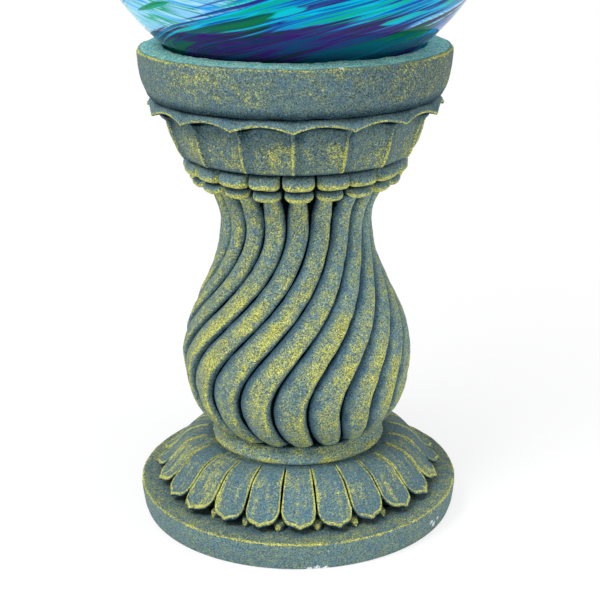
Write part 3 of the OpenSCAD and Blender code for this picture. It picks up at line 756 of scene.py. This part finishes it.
def make_collar():
    """Rounded, lumpy ring between the skirt and the shaft."""
    corners = [(COLLAR_FOOT_R, COLLAR_Z, 0.3, 0.6), (COLLAR_R, COLLAR_RIDGE_Z, 2, 0.7),
               (COLLAR_HEAD_R + 3, SHAFT_Z - 3.4, 3, 0.7), (COLLAR_HEAD_R, SHAFT_Z - 0.2, 0.6, 0.7),
               (48, SHAFT_Z, 0, 3), (BOSS_R, SHAFT_Z, 0, 3),
               (BOSS_R, SHAFT_Z + BOSS_H, 0.8, 4), (CORE_R, SHAFT_Z + BOSS_H, 0, 4),
               (CORE_R, COLLAR_Z + SOCKET_H, 0, 4), (SOCKET_R, COLLAR_Z + SOCKET_H, 0, 4),
               (SOCKET_R, COLLAR_Z, 0, 4)]
    live = (47, 50, COLLAR_Z, COLLAR_Z + 1)
    p, proud, nz = turned_casting(corners, 360, live, amount=2, seed=31)
    r, z = radius(p), p[..., 2]
    worn, deep = brushed(proud, nz, -0.08, edge=0.5, up=0)
    worn = worn + (-0.05 + 0.7 * lump(p, 10, 33)) * bump(z, COLLAR_RIDGE_Z + 0.4, 1.8)
    # Painted shade under the collar's ridge and on its top at the feet of the flutes
    deep = deep + 0.35 * smooth(47.9, 47, z) + 0.6 * smooth(51.8, 50.6, r)
    cast("base_collar", p, worn=worn, deep=np.clip(deep, 0, 1.1), pale=0.65)


def shaft_r(h):
    """Radius over the flutes at a height above the foot."""
    low = FOOT_R + (BELLY_R - FOOT_R) * (1 - np.clip(1 - h / BELLY_H, 0, 1) ** 1.85) ** (1 / 1.85)
    rise = np.clip((h - BELLY_H) / (NECK_H - BELLY_H), 0, 1)
    waist = NECK_R + (BELLY_R - NECK_R) * (1 + np.cos(np.pi * rise)) / 2
    flare = NECK_R + (HEAD_R - NECK_R) * np.clip((h - NECK_H) / (SHAFT_H - NECK_H), 0, 1) ** 2
    return np.where(h < BELLY_H, low, np.where(h < NECK_H, waist, flare))


def flute_turn(h):
    """Turn of the flutes at a height above the foot, in degrees."""
    wind = -FLUTE_TWIST * smooth(TWIST_TOP_H, TWIST_FOOT_H, h)
    return wind + FLUTE_HOOK * np.clip(1 - h / TWIST_FOOT_H, 0, 1) ** 2


def shaft_shape():
    """Grid of the flutes and the core, with the place of each point of the flutes across its flute."""
    pitch = 360 / FLUTES
    low = BELLY_H * (1 - np.cos(np.linspace(0, np.pi / 2, 56)[:-1]))
    h = np.concatenate([low, np.linspace(BELLY_H, SHAFT_H, 106)])
    hh = h[:, None]
    # Steps across a flute from groove to groove, close together at the grooves
    s = np.linspace(-1, 1, 29)[:-1]
    s = np.sign(s) * (1 - (1 - np.abs(s)) ** 1.3)
    s = (s + 1) / 2
    belly = smooth(NECK_H - 6, BELLY_H + 14, hh) * smooth(3, 30, hh)
    crest = 0.5 + 0.28 * belly
    # x runs from -1 at the left groove through 0 at the crest to 1 at the right groove
    x = np.where(s < crest, s / crest - 1, (s - crest) / (1 - crest))
    # The grooves open out at the foot and under the beads
    gap = 0.02 + 0.02 * smooth(50, 16, hh) + 0.14 * smooth(14, 0, hh)
    gap = gap + 0.22 * smooth(SHAFT_H - 24, SHAFT_H - 7, hh)
    gap = gap + 0.03 * smooth(BELLY_H + 40, NECK_H - 10, hh)
    ax = np.minimum(np.abs(x) / (1 - gap), 1)
    round_drop = 1 - np.sqrt(np.maximum(0, 1 - ax ** 2.2))
    slope_drop = 0.36 * ax ** 1.3 + 0.64 * ax ** 9
    drop = np.where(x < 0, round_drop * (1 - belly) + slope_drop * belly, round_drop)
    depth = 5.4 + 2.6 * smooth(16, 0, hh) + 4.2 * smooth(NECK_H, SHAFT_H - 4, hh)
    flute = np.arange(FLUTES)[None, :, None] - 0.5 + s[None, None, :]
    az = flute * pitch + flute_turn(h)[:, None, None] + FLUTE_PHASE
    # The foot of each flute rounds off like a finger
    finger = 3.2 * smooth(5, 0, hh) ** 2
    r = (shaft_r(hh) - finger - depth * drop)[:, None, :]
    flutes = polar(az, r, SHAFT_Z + h[:, None, None]).reshape(len(h), -1, 3)
    well_z = WELL_LOW_Z - END_GAP
    inner = [(WELL_HOLE_R, SHAFT_Z + SHAFT_H), (WELL_HOLE_R, well_z), (CORE_R, well_z),
             (CORE_R, SHAFT_Z + SOCKET_H), (SOCKET_R, SHAFT_Z + SOCKET_H), (SOCKET_R, SHAFT_Z)]
    # The columns of the core wind back to the turn of the foot that they join
    turn = np.linspace(0, float(flute_turn(np.array(0))), len(inner))
    core = np.stack([polar(az[-1].ravel() + a, rr, zz) for (rr, zz), a in zip(inner, turn)])
    live = np.concatenate([smooth(0, 2, h), np.zeros(len(inner))])[:, None]

    def spread(a):
        """Values across one flute, repeated for all of them."""
        return np.broadcast_to(np.broadcast_to(a, x.shape)[:, None, :], az.shape).reshape(len(h), -1)

    return SimpleNamespace(p=np.concatenate([flutes, core]), live=live, rows=len(h), high=spread(hh),
                           cross=spread(np.sign(x) * ax), edge=spread(ax), bellied=spread(belly))


def make_shaft():
    """Baluster of twisted flutes, each capped by a bead of the lower row."""
    s = shaft_shape()
    p, proud, nz = weathered(s.p, s.live, seed=41, amount=1.1)
    outer = p[:s.rows]
    cross, edge, bellied, high = s.cross, s.edge, s.bellied, s.high

    def pad(a):
        """Values on the flutes, with 0 on the core."""
        return np.concatenate([a, np.zeros((len(p) - s.rows, p.shape[1]))])

    worn, deep = brushed(proud, nz, -0.11, edge=0.2, hollow=0.2, up=0.10)
    # Yellow on the ridge, along a line beside it and on the tip; less on the lower flank and on the
    # right-hand side, as painted shade
    patch = lump(outer * (1, 1, 0.6), 15, 45)
    ridge = bump(cross, -0.10, 0.46) * bellied * (0.36 + 1.2 * patch + 0.3 * smooth(20, 60, high))
    line = bump(cross, 0.50 - 0.22 * bellied, 0.18) * (0.20 + 0.40 * bellied + 1 * lump(outer, 9, 46))
    below = smooth(0.70 - 0.20 * bellied, 0.98 - 0.10 * bellied, cross)
    tip = bump(high, 5.5, 5) * smooth(0.9, 0.5, edge)
    worn = worn + pad(0.60 * ridge + 0.75 * line - 0.4 * below + 0.25 * tip - 0.08 * right_hand(outer))
    # A bare blue strip on the upper flank, partly darkened as painted shade, and painted shade in the
    # grooves, on the lower flank and under the beads
    strip = smooth(-0.40 - 0.12 * bellied, -0.96, cross + 0.10 * lump(outer, 6, 47)) * (0.9 + 0.1 * bellied)
    wide = 0.91 + 0.04 * smooth(15, 70, high) + 0.03 * lump(outer, 16, 49)
    groove = smooth(wide, 1, edge) + (0.20 + 0.18 * bellied) * below + (0.16 + 0.20 * bellied) * strip
    under_caps = 0.5 * smooth(SHAFT_H - 22, SHAFT_H - 8, high) * smooth(0.75, 1, edge)
    groove = groove + smooth(SHAFT_H - 9, SHAFT_H - 5, high) + under_caps
    deep = np.clip(deep + pad(groove), 0, 1.2)
    # Painted light lifts the coat, a little more on the neck and most on the right-hand side, but not on the
    # strip
    pale = pad((0.32 - 0.04 * bellied + 0.30 * right_hand(outer)) * (1 - strip))
    k = Relief()
    k.add(p, worn=worn, deep=deep, bare=pad(0.8 * strip), pale=pale, ring=True, tile=(0, 0, 1, 0.9))
    for f in range(FLUTES):
        add_cap(k, f * 360 / FLUTES + FLUTE_PHASE, f, share_of_top(f, FLUTES, 0.91))
    k.cast("shaft")


def add_pillow(k, az, index, tile, root_r, profile, reach):
    """Bead on a ring: a profile of (radius, height) that draws in toward the bead's ends along the ring.

    reach gives the half length of the bead at a height.
    """
    prof = np.array(profile, float)
    t = np.sin(np.linspace(-1, 1, 27) * math.pi / 2)
    low, high = prof[:, 1].min(), prof[:, 1].max()
    middle = (low + high) / 2
    lean, swell, shift = (0.5 * math.sin(index * a + b) for a, b in ((1.9, 0.4), (3.7, 1.1), (2.6, 2)))
    fade = np.maximum((1 - np.abs(t) ** 4.5) ** (1 / 2.2), 0.02)
    rows = []
    for r, z in prof:
        free = 1 - abs(z - middle) / (high - low) * 2
        rr = root_r + (r + swell * 0.8 - root_r) * fade
        zz = middle + (z - middle) * (0.58 + 0.42 * fade) + lean * t * free
        along = t * reach(z) * (1 + 0.05 * swell) + 0.5 * shift
        rows.append(polar(az + np.degrees(along / BEAD_MID_R), rr, zz))
    p, _, nz = weathered(np.stack(rows), 1, wrap=False, seed=60 + index)
    v = (p[..., 2] - low) / (high - low)
    low_rim = smooth(0.25, -0.25, nz) * smooth(0, 0.1, v)
    worn = -0.12 + 1 * low_rim - 0.75 * smooth(0.1, 0.6, nz)
    # Painted shade under each bead, between the beads and along their top edge
    deep = 0.9 * smooth(0.10, 0, v) + 0.9 * smooth(0.91, 1, np.abs(t)) + 0.7 * smooth(0.80, 1.02, v)
    # Painted light lifts the coat on the sides and undersides; the tops are bare blue
    k.add(p, worn=worn, deep=np.clip(deep, 0, 1.1), bare=0.4 * smooth(0.2, 0.7, nz),
          pale=0.55 * smooth(0.7, 0.2, nz), wrap=False, tile=tile)


def add_cap(k, az, index, tile):
    """Bead of the lower row, which caps a flute: flat on top and round below."""
    flat_z, round_h = 227.2, 6.9

    def reach(z):
        return CAP_HALF_L * math.sqrt(max(0.3, 1 - max(0, (flat_z - z) / round_h) ** 4))

    profile = [(CAP_ROOT_R, 220.9), (60, 221), (63.4, 221.3), (65.4, 222), (66.5, 223.1), (66.9, 224.3),
               (66.5, 225.6), (65.6, 226.9), (64.6, 227.9), (63, 228.4), (56, 228.45)]
    add_pillow(k, az, index, tile, CAP_ROOT_R, profile, reach)


def add_bead(k, az, index, tile):
    """Bead of the upper row, round all over."""

    def reach(z):
        return BEAD_HALF_L - 0.9 * smooth(231.5, 228.6, z)

    profile = [(BEAD_ROOT_R, 228.7), (65.2, 228.8), (68, 229.2), (69.8, 230.1), (70.8, 231.3),
               (71, 232.6), (70.6, 234.1), (69.9, 235.5), (69.1, 236.8), (68.2, 237.9), (66.6, 238.7),
               (BEAD_ROOT_R, 238.9)]
    add_pillow(k, az, index, tile, BEAD_ROOT_R, profile, reach)


def make_bead_ring():
    """Necking ring with the upper row of beads."""
    corners = [(63.4, BEAD_Z, 0.5, 1.5), (BEAD_BACK_R, BEAD_Z + 2.5, 0.5, 1.5),
               (BEAD_BACK_R, BEAD_Z + 8, 0.5, 1.5), (63.8, CUP_Z, 0.5, 4),
               (WELL_HOLE_R, CUP_Z, 0, 4), (WELL_HOLE_R, BEAD_Z, 0, 4)]
    rz = path(corners)
    k = Relief()
    # Painted shade on the ring behind and between the beads
    k.add(revolve(rz, 240), worn=-0.4, deep=1.2 * (rz[:, :1] > 62), ring=True, tile=(0, 0, 1, 0.6))
    for f in range(FLUTES):
        # The beads' numbers start past those of the caps, so that no two have the same shape
        add_bead(k, f * 360 / FLUTES + FLUTE_PHASE, f + 40, share_of_top(f, FLUTES, 0.62))
    k.cast("bead_ring")


def cup_r(v):
    """Radius over the ribs of the cup at a share of its height."""
    return CUP_FOOT_R + (CUP_HEAD_R - CUP_FOOT_R) * np.maximum(v, 0) ** 0.37


def cup_shape():
    """Grid of the cup's wall, leaf edge, upper face and inside, with what the paint needs to know of it."""
    us = both_ways([0, 0.13, 0.26, 0.39, 0.51, 0.62, 0.71, 0.78, 0.83, 0.87, 0.90, 0.93, 0.955, 0.978])
    az = ((np.arange(PANELS)[:, None] + (us[None, :] + 1) / 2) * 360 / PANELS + PANEL_PHASE).ravel()
    u = np.tile(us, PANELS)
    au = np.abs(u)
    arch = 1 - u * u
    panel = smooth(0.99, 0.90, au) * 1.1 + 1.3 * (1 - au ** 2)
    # v runs from 0 at the foot to 1 under the leaf edge
    v = np.concatenate([np.linspace(0, 0.12, 9)[:-1], np.linspace(0.12, 1, 36)])[:, None]
    lip_r, lip_z = LEAF_R - LEAF_SCALLOP * arch, LEAF_EDGE_Z + LEAF_RISE * arch
    z = CUP_Z + (lip_z - 0.5 - CUP_Z) * v
    # The wall sweeps out under the leaf edge, most at its points
    sweep = smooth(0.70, 1, v) ** 2 * (2 + 2.2 * au ** 3)
    r = cup_r(v) - panel * smooth(0, 0.06, v) - 2 * smooth(0.05, 0, v) + sweep
    wall = polar(az, r, z)
    # Share of the way out from the wall, then offsets out and up, round the leaf's edge and back up its face
    leaf_rows = [(0.45, 0, -0.7), (0.80, 0, -1), (0.95, 0, -1.1), (1, 0, -0.8),
                 (1, 0.40, -0.35), (1, 0.45, 0.15), (1, 0.25, 0.6), (1, -0.2, 1.1),
                 (1, -0.9, 1.6), (1, -1.7, 2.1)]
    leaf = [polar(az, r[-1] + (lip_r - r[-1]) * a + b, lip_z + c) for a, b, c in leaf_rows]
    # The face rises from the edge to a shallow valley under the rim band
    face = []
    for t in (0.25, 0.5, 0.75, 1):
        face_z = (lip_z + 2.1) * (1 - t ** 0.8) + (BOWL_Z + 1.7) * t ** 0.8
        face.append(polar(az, (lip_r - 1.7) * (1 - t) + VALLEY_R * t, face_z))
    step_z = SPIGOT_LOW_Z - END_GAP
    inner = [(CUP_MOUTH_R + 0.2, BOWL_Z + 1.8), (CUP_MOUTH_R, BOWL_Z), (SPIGOT_R + FIT, BOWL_Z),
             (SPIGOT_R + FIT, step_z), (66, step_z), (CUP_FLOOR_R, CUP_FLOOR_Z),
             (WELL_HOLE_R, CUP_FLOOR_Z), (WELL_HOLE_R, CUP_Z)]
    top = [polar(az, rr, zz) for rr, zz in inner]
    p = np.concatenate([wall, np.stack(leaf), np.stack(face), np.stack(top)])
    live = [smooth(0, 0.05, v[:, 0]), np.full(len(leaf) + len(face), 0.4), np.zeros(len(top))]
    return SimpleNamespace(p=p, live=np.concatenate(live)[:, None], u=u, au=au, v=v,
                           leaf=len(leaf), inner=len(top))


def make_leaf_cup():
    """Bowl of ribbed panels with a scalloped leaf edge."""
    s = cup_shape()
    p, proud, nz = weathered(s.p, s.live, seed=51)
    u, au, v = s.u, s.au, s.v
    worn, deep = brushed(proud, nz, -0.33, edge=0.25, up=0.1)
    m, n = len(v), s.leaf
    rib = smooth(0.90, 0.97, au)
    patch = lump(p[:m], 14, 53)
    # Yellow on the ribs; less high up under the leaf's edge and on the right-hand side, as painted shade
    worn[:m] += 0.85 * rib * smooth(1, 0.8, v) - 0.6 * smooth(0.55, 0.95, v) - 0.2 * right_hand(p[:m])
    worn[:m] += 0.35 * bump(v, 0.35, 0.3) * (0.6 + 0.6 * patch)
    # Painted light: more yellow on the right of each panel, the side that faces the light
    worn[:m] += 0.2 * smooth(-0.2, 0.9, u) * smooth(0.9, 0.6, v)
    # Painted shade: each panel is darkest beside the rib on its left and under the leaf's edge, and the cup
    # is dark at its foot
    hollow = 0.28 * bump(u, -0.80, 0.22) + 0.25 * smooth(0.60, 0.9, v) * (1 - 0.6 * rib)
    deep[:m] += hollow + 0.75 * smooth(0.08, 0, v)
    deep[:m] += 0.75 * smooth(0.86, 1, v) * smooth(1, 0.6, au)
    # Rows of the leaf: painted shade below, yellow on the edge, bare above, and painted shade up to the rim
    # band
    edge = np.array([0, 0, 0, 0.2, 0.75, 0.4, -0.1, -0.3, -0.4, -0.4])
    worn[m:m + n] += edge[:, None] * (0.8 + 0.5 * lump(p[m:m + n], 12, 55)) + 0.25 * au ** 4
    deep[m:m + 3] += np.array([0.9, 0.9, 0.4])[:, None]
    deep[m + n:] += np.array([0.15, 0.36, 0.56, 0.78] + [0.8] * s.inner)[:, None]
    worn[m + n:] -= 0.6
    # The leaves are smoother than the cup's wall, except at their edge
    bare = np.full((len(p), 1), 0.45)
    bare[:m] = 0
    bare[m + 3:m + 6] = 0
    # Painted highlight along the top of the lip, behind its edge
    pale = np.zeros((len(p), 1))
    pale[m + 5:m + n] = 0.40
    cast("leaf_cup", p, worn=worn, deep=np.clip(deep, 0, 1.2), bare=bare, pale=pale)


def make_neck_socket():
    """Flanged cup that leaves room for the globe's neck, with a hole for the rod in its floor."""
    flange_top_z = CUP_FLOOR_Z + FLANGE_T
    corners = [(ROD_HOLE_R, WELL_LOW_Z, 0, 4), (WELL_R, WELL_LOW_Z, 1, 3),
               (WELL_R, CUP_FLOOR_Z, 0, 3), (FLANGE_R, CUP_FLOOR_Z, 0.4, 1.5),
               (FLANGE_R, flange_top_z, 1, 2), (WELL_IN_R, flange_top_z, 1, 3),
               (WELL_IN_R, WELL_FLOOR_Z, 1.5, 3), (ROD_HOLE_R, WELL_FLOOR_Z, 0, 3)]
    cast("neck_socket", revolve(path(corners), 120), worn=-0.3, deep=0.2)


def make_dish_plate():
    """Loose floor of the dish, with the hole for the globe's neck."""
    corners = [(DISH_HOLE_R, PLATE_Z, 0.6, 3), (PLATE_R, PLATE_Z, 0.6, 2),
               (PLATE_R, DISH_FLOOR_Z, 0.8, 2), (DISH_HOLE_R, DISH_FLOOR_Z, 1.2, 2)]
    p, proud, _ = turned_casting(corners, 240, live=(0, 1, 275, 276.5), amount=0.6, seed=71)
    cast("dish_plate", p, worn=-0.15 + 0.4 * proud, deep=0.1)


def make_rim_bowl():
    """Dish with a plain flared band, a ledge for the seat ring and a shelf for the plate."""
    band = [(RIM_R - RIM_FLARE * (1 - t) ** 2.2, BOWL_Z + 2 + 27 * t) for t in np.linspace(0, 0.92, 9)]
    corners = [(SHELF_R, SPIGOT_LOW_Z, 0.5, 3), (SPIGOT_R, SPIGOT_LOW_Z, 0.8, 2),
               (SPIGOT_R, BOWL_Z, 0, 3), (BAND_FOOT_R - 0.4, BOWL_Z, 0, 1),
               (BAND_FOOT_R, BOWL_Z + 2.2, 0.8, 1)]
    corners += [(r, z, 0 if i else 3.2, 1.1) for i, (r, z) in enumerate(band)]
    corners += [(RIM_R - 0.3, RIM_Z, 1.8, 1), (MOUTH_R + 1, MOUTH_Z, 0.8, 1),
                (MOUTH_R - 0.4, MOUTH_Z - 1.4, 0.6, 1.2), (LEDGE_R, LEDGE_Z + 6, 0.8, 1.5),
                (LEDGE_R, LEDGE_Z, 0, 1.5), (LEDGE_R - SEAT_W - 2, LEDGE_Z, 0.8, 1.5),
                (PLATE_R + FIT, DISH_FLOOR_Z, 0, 2), (PLATE_R + FIT, PLATE_Z, 0, 2),
                (SHELF_R, PLATE_Z, 0.4, 2)]
    p, proud, nz = turned_casting(corners, 480, live=(78, 80, BOWL_Z, BOWL_Z + 3), amount=1.3, seed=61)
    r, z = radius(p), p[..., 2]
    right = right_hand(p)
    # Less yellow on the right-hand side, as painted shade
    worn, deep = brushed(proud, nz, -0.48 - 0.30 * right, edge=0.6, up=0.2)
    top = smooth(0.6, 0.9, nz) * (z > RIM_Z - 2)
    side = smooth(0.5, 0.2, nz) * (r > 84)
    # The yellow line along the rim's edge is strong at the sides and faint in front
    line = np.exp(-((r - RIM_R + 0.6) ** 2 + (z - RIM_Z + 0.4) ** 2) / 0.7)
    line = line * (0.35 + 0.8 * smooth(0.55, 0.95, np.abs(p[..., 0]) / r))
    smear = near(p, BAND_SMEAR, 22, (1, 1, 1.6))
    worn = worn + 1.6 * line - 0.2 * top + (0.5 * smear + 0.25 * lump(p, 22, 64)) * side
    # Painted shade low on the band, toward the valley under it, and inside the dish under the globe
    deep = deep + 0.70 * smooth(BOWL_Z + 11, BOWL_Z + 3, z) ** 1.3 * (r > 83) + 0.3 * (r < 79.5)
    # Teal on the rim's top and inside the dish stands in for light coloured by the glass
    teal = top * smooth(95.5, 93.5, r) + 0.8 * (r < 80.5) * (z > 280)
    # Painted light on the right of the rim's top, and painted shade on the right of the band
    cast("rim_bowl", p, worn=worn, deep=np.clip(deep, 0, 1.1), bare=side * (0.10 - 0.6 * right),
         pale=right * (0.55 * top - 0.22 * side), teal=teal, chip=near(p, RIM_CHIP, 1.6))


# Globe, seat and rod

def make_seat_ring():
    """Rubber ring on the ledge, with a sloped face that the globe rests on."""
    slope = SEAT_R / math.sqrt(GLOBE_R ** 2 - SEAT_R ** 2)
    face_z = SEAT_Z - FIT / math.cos(math.atan(slope))
    inner, outer = SEAT_R - SEAT_W / 2, SEAT_R + SEAT_W / 2
    corners = [(inner, LEDGE_Z, 0.6, 1.2), (outer, LEDGE_Z, 0.6, 1.2),
               (outer, face_z + slope * SEAT_W / 2, 0.9, 1.2), (inner, face_z - slope * SEAT_W / 2, 0.7, 1.2)]
    k = Relief()
    k.add(revolve(path(corners), 240), ring=True)
    k.build("seat_ring_rubber", "turning_seat", RUBBER, ["seat_ring"])


def make_globe():
    """Hollow ball with its neck, from the top of the inside down, round the neck's lip and up the outside."""
    inner_r, stem_in, pole, lip = GLOBE_R - GLASS_T, STEM_R - GLASS_T, 0.25, 0.8
    a_in = np.linspace(math.asin(pole / inner_r), math.pi - math.asin(stem_in / inner_r), 110)
    a_out = np.linspace(math.pi - math.asin(STEM_R / GLOBE_R) - 0.05, math.asin(pole / GLOBE_R), 150)
    rows = [(inner_r * math.sin(a), GLOBE_Z + inner_r * math.cos(a)) for a in a_in]
    low = rows[-1][1]
    rows += [(stem_in, low - t * (low - STEM_Z - lip)) for t in np.linspace(0.1, 1, 8)]
    rows += [(STEM_R - GLASS_T / 2 + GLASS_T / 2 * math.cos(a), STEM_Z + lip + lip * math.sin(a))
             for a in np.linspace(-2.6, -0.2, 7)]
    join_z = GLOBE_Z - math.sqrt(GLOBE_R ** 2 - STEM_R ** 2)
    rows += [(STEM_R, STEM_Z + lip + t * (join_z - STEM_Z - 3)) for t in np.linspace(0, 1, 9)]
    rows += [(STEM_R + 0.7, join_z - 1.1)]
    rows += [(GLOBE_R * math.sin(a), GLOBE_Z + GLOBE_R * math.cos(a)) for a in a_out]
    k = Relief()
    k.add(revolve(np.array(rows), 200), caps=True)
    k.build("globe_glass", "glass_globe", GLASS, ["globe", "globe_neck"])


def make_stopper():
    """Rubber plug in the globe's neck, with a head under the lip."""
    axis_r = 0.4
    corners = [(axis_r, PLUG_HEAD_Z, 0, 2), (PLUG_HEAD_R, PLUG_HEAD_Z, 1, 2),
               (PLUG_HEAD_R, STEM_Z, 0.6, 1.5), (PLUG_R, STEM_Z, 0, 1.5),
               (PLUG_R, PLUG_TOP_Z, 1.2, 2), (axis_r, PLUG_TOP_Z, 0, 2)]
    k = Relief()
    k.add(revolve(path(corners), 96), ring=True)
    k.build("neck_stopper_rubber", "glass_globe", RUBBER, ["neck_stopper"])


def make_tie_rod():
    """Steel rod with a thread and a chamfer at each end."""
    low_end, high_end = ROD_LOW_Z + THREAD_L, ROD_TOP_Z - THREAD_L
    low = np.arange(ROD_LOW_Z, low_end, THREAD_PITCH / 10)
    mid = np.linspace(low_end, high_end, 40)
    high = np.arange(high_end, ROD_TOP_Z + 1e-6, THREAD_PITCH / 10)
    z = np.concatenate([low, mid[1:-1], high])
    columns = 40
    az = np.arange(columns) * 360 / columns
    wave = np.abs(((z[:, None] / THREAD_PITCH + az / 360) % 1) * 2 - 1)
    cut = np.minimum(smooth(low_end, low_end - 3, z) + smooth(high_end, high_end + 3, z), 1)
    chamfer = np.maximum(smooth(1.2, 0, z - ROD_LOW_Z), smooth(1.2, 0, ROD_TOP_Z - z))
    r = ROD_R - THREAD_D * wave * cut[:, None] - 0.8 * chamfer[:, None]
    k = Relief()
    k.add(polar(az, r, z[:, None]), caps=True)
    k.build("tie_rod_threaded", "pedestal", STEEL, ["tie_rod"])


for make in (make_plinth, make_petal_skirt, make_collar, make_shaft, make_bead_ring, make_leaf_cup,
             make_neck_socket, make_rim_bowl, make_dish_plate, make_seat_ring, make_globe,
             make_stopper, make_tie_rod):
    make()

for name in ("bottom_washer", "bottom_nut", "top_washer", "top_nut"):
    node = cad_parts[name]
    node.data.materials.clear()
    node.data.materials.append(STEEL)


# Stage, light and camera

WHITE = (1, 1, 1, 1)
FLOOR_HALF, FLOOR_Z = 6, -0.0003
# Share of plain white in the floor near the plinth and further out, and how far from the axis in metres
FLOOR_WHITE, FLOOR_REACH = (0.78, 1), (0.12, 0.55)
# The lamps look here: place in metres
LAMP_TARGET = (0, 0, 0.2)
# Camera of the photograph: place in metres, angles in degrees, focal length for a 36 mm sensor
CAMERA_PLACE, CAMERA_PITCH, CAMERA_YAW, CAMERA_ROLL = (0, -0.8107, 0.4224), -19.26, -0.144, -0.42
CAMERA_LENS, SENSOR_W = 78.83, 36


def make_floor():
    """Floor that keeps part of the shadow close to the plinth and turns to plain white further out."""
    k = material_nodes("studio_floor")
    where = k.place()
    lit = k.node("BsdfDiffuse", {"Color": k.mix(k.noise(where, 3), (0.93, 0.93, 0.93), (0.95, 0.95, 0.95))})
    white = k.node("Emission", {"Color": WHITE, "Strength": 1})
    away = k.vector("LENGTH", where, result="Value")
    share = k.node("MapRange", {"Value": away, "From Min": FLOOR_REACH[0], "From Max": FLOOR_REACH[1],
                                "To Min": FLOOR_WHITE[0], "To Max": FLOOR_WHITE[1]})
    shown = k.math("MULTIPLY", k.seen(), share.outputs["Result"])
    paint = k.finish("MixShader", {0: shown, 1: lit.outputs[0], 2: white.outputs[0]})
    mesh = bpy.data.meshes.new("floor")
    corners = [(x * FLOOR_HALF, y * FLOOR_HALF, FLOOR_Z) for x, y in ((-1, -1), (1, -1), (1, 1), (-1, 1))]
    mesh.from_pydata(corners, [], [(0, 1, 2, 3)])
    mesh.materials.append(paint)
    floor = bpy.data.objects.new("floor", mesh)
    bpy.context.scene.collection.objects.link(floor)


def make_world():
    """Even light on the object, and plain white where the background itself is seen."""
    world = bpy.data.worlds.new("studio")
    bpy.context.scene.world = world
    k = Nodes(world, "OutputWorld")
    ambient = k.node("Background", {"Color": (0.96, 0.98, 1, 1), "Strength": 0.45})
    white = k.node("Background", {"Color": WHITE, "Strength": 1})
    k.finish("MixShader", {0: k.seen(), 1: ambient.outputs[0], 2: white.outputs[0]})


def make_light(name, place, size, power):
    """Round lamp at a place in metres that looks at the pedestal."""
    light = bpy.data.lights.new(name, "AREA")
    light.shape = "DISK"
    light.size = size
    light.energy = power
    obj = bpy.data.objects.new(name, light)
    obj.location = place
    gaze = Vector(np.subtract(LAMP_TARGET, place))
    obj.rotation_euler = gaze.to_track_quat("-Z", "Y").to_euler()
    bpy.context.scene.collection.objects.link(obj)


def make_camera():
    """Camera that sees the object as the photograph does."""
    data = bpy.data.cameras.new("camera")
    data.sensor_width = SENSOR_W
    data.lens = CAMERA_LENS
    camera = bpy.data.objects.new("camera", data)
    yaw = Matrix.Rotation(math.radians(CAMERA_YAW), 4, "Z")
    pitch = Matrix.Rotation(math.radians(90 + CAMERA_PITCH), 4, "X")
    roll = Matrix.Rotation(math.radians(CAMERA_ROLL), 4, "Z")
    camera.matrix_world = Matrix.Translation(CAMERA_PLACE) @ (yaw @ pitch) @ roll
    bpy.context.scene.collection.objects.link(camera)
    bpy.context.scene.camera = camera


make_floor()
make_world()
make_light("key", (-0.9, -0.9, 1.6), size=0.7, power=24)
make_light("fill", (1.3, -0.8, 0.8), size=1, power=7)
make_light("top", (0, -0.2, 1.9), size=1, power=14)
make_camera()
bpy.context.scene.view_settings.view_transform = "Standard"
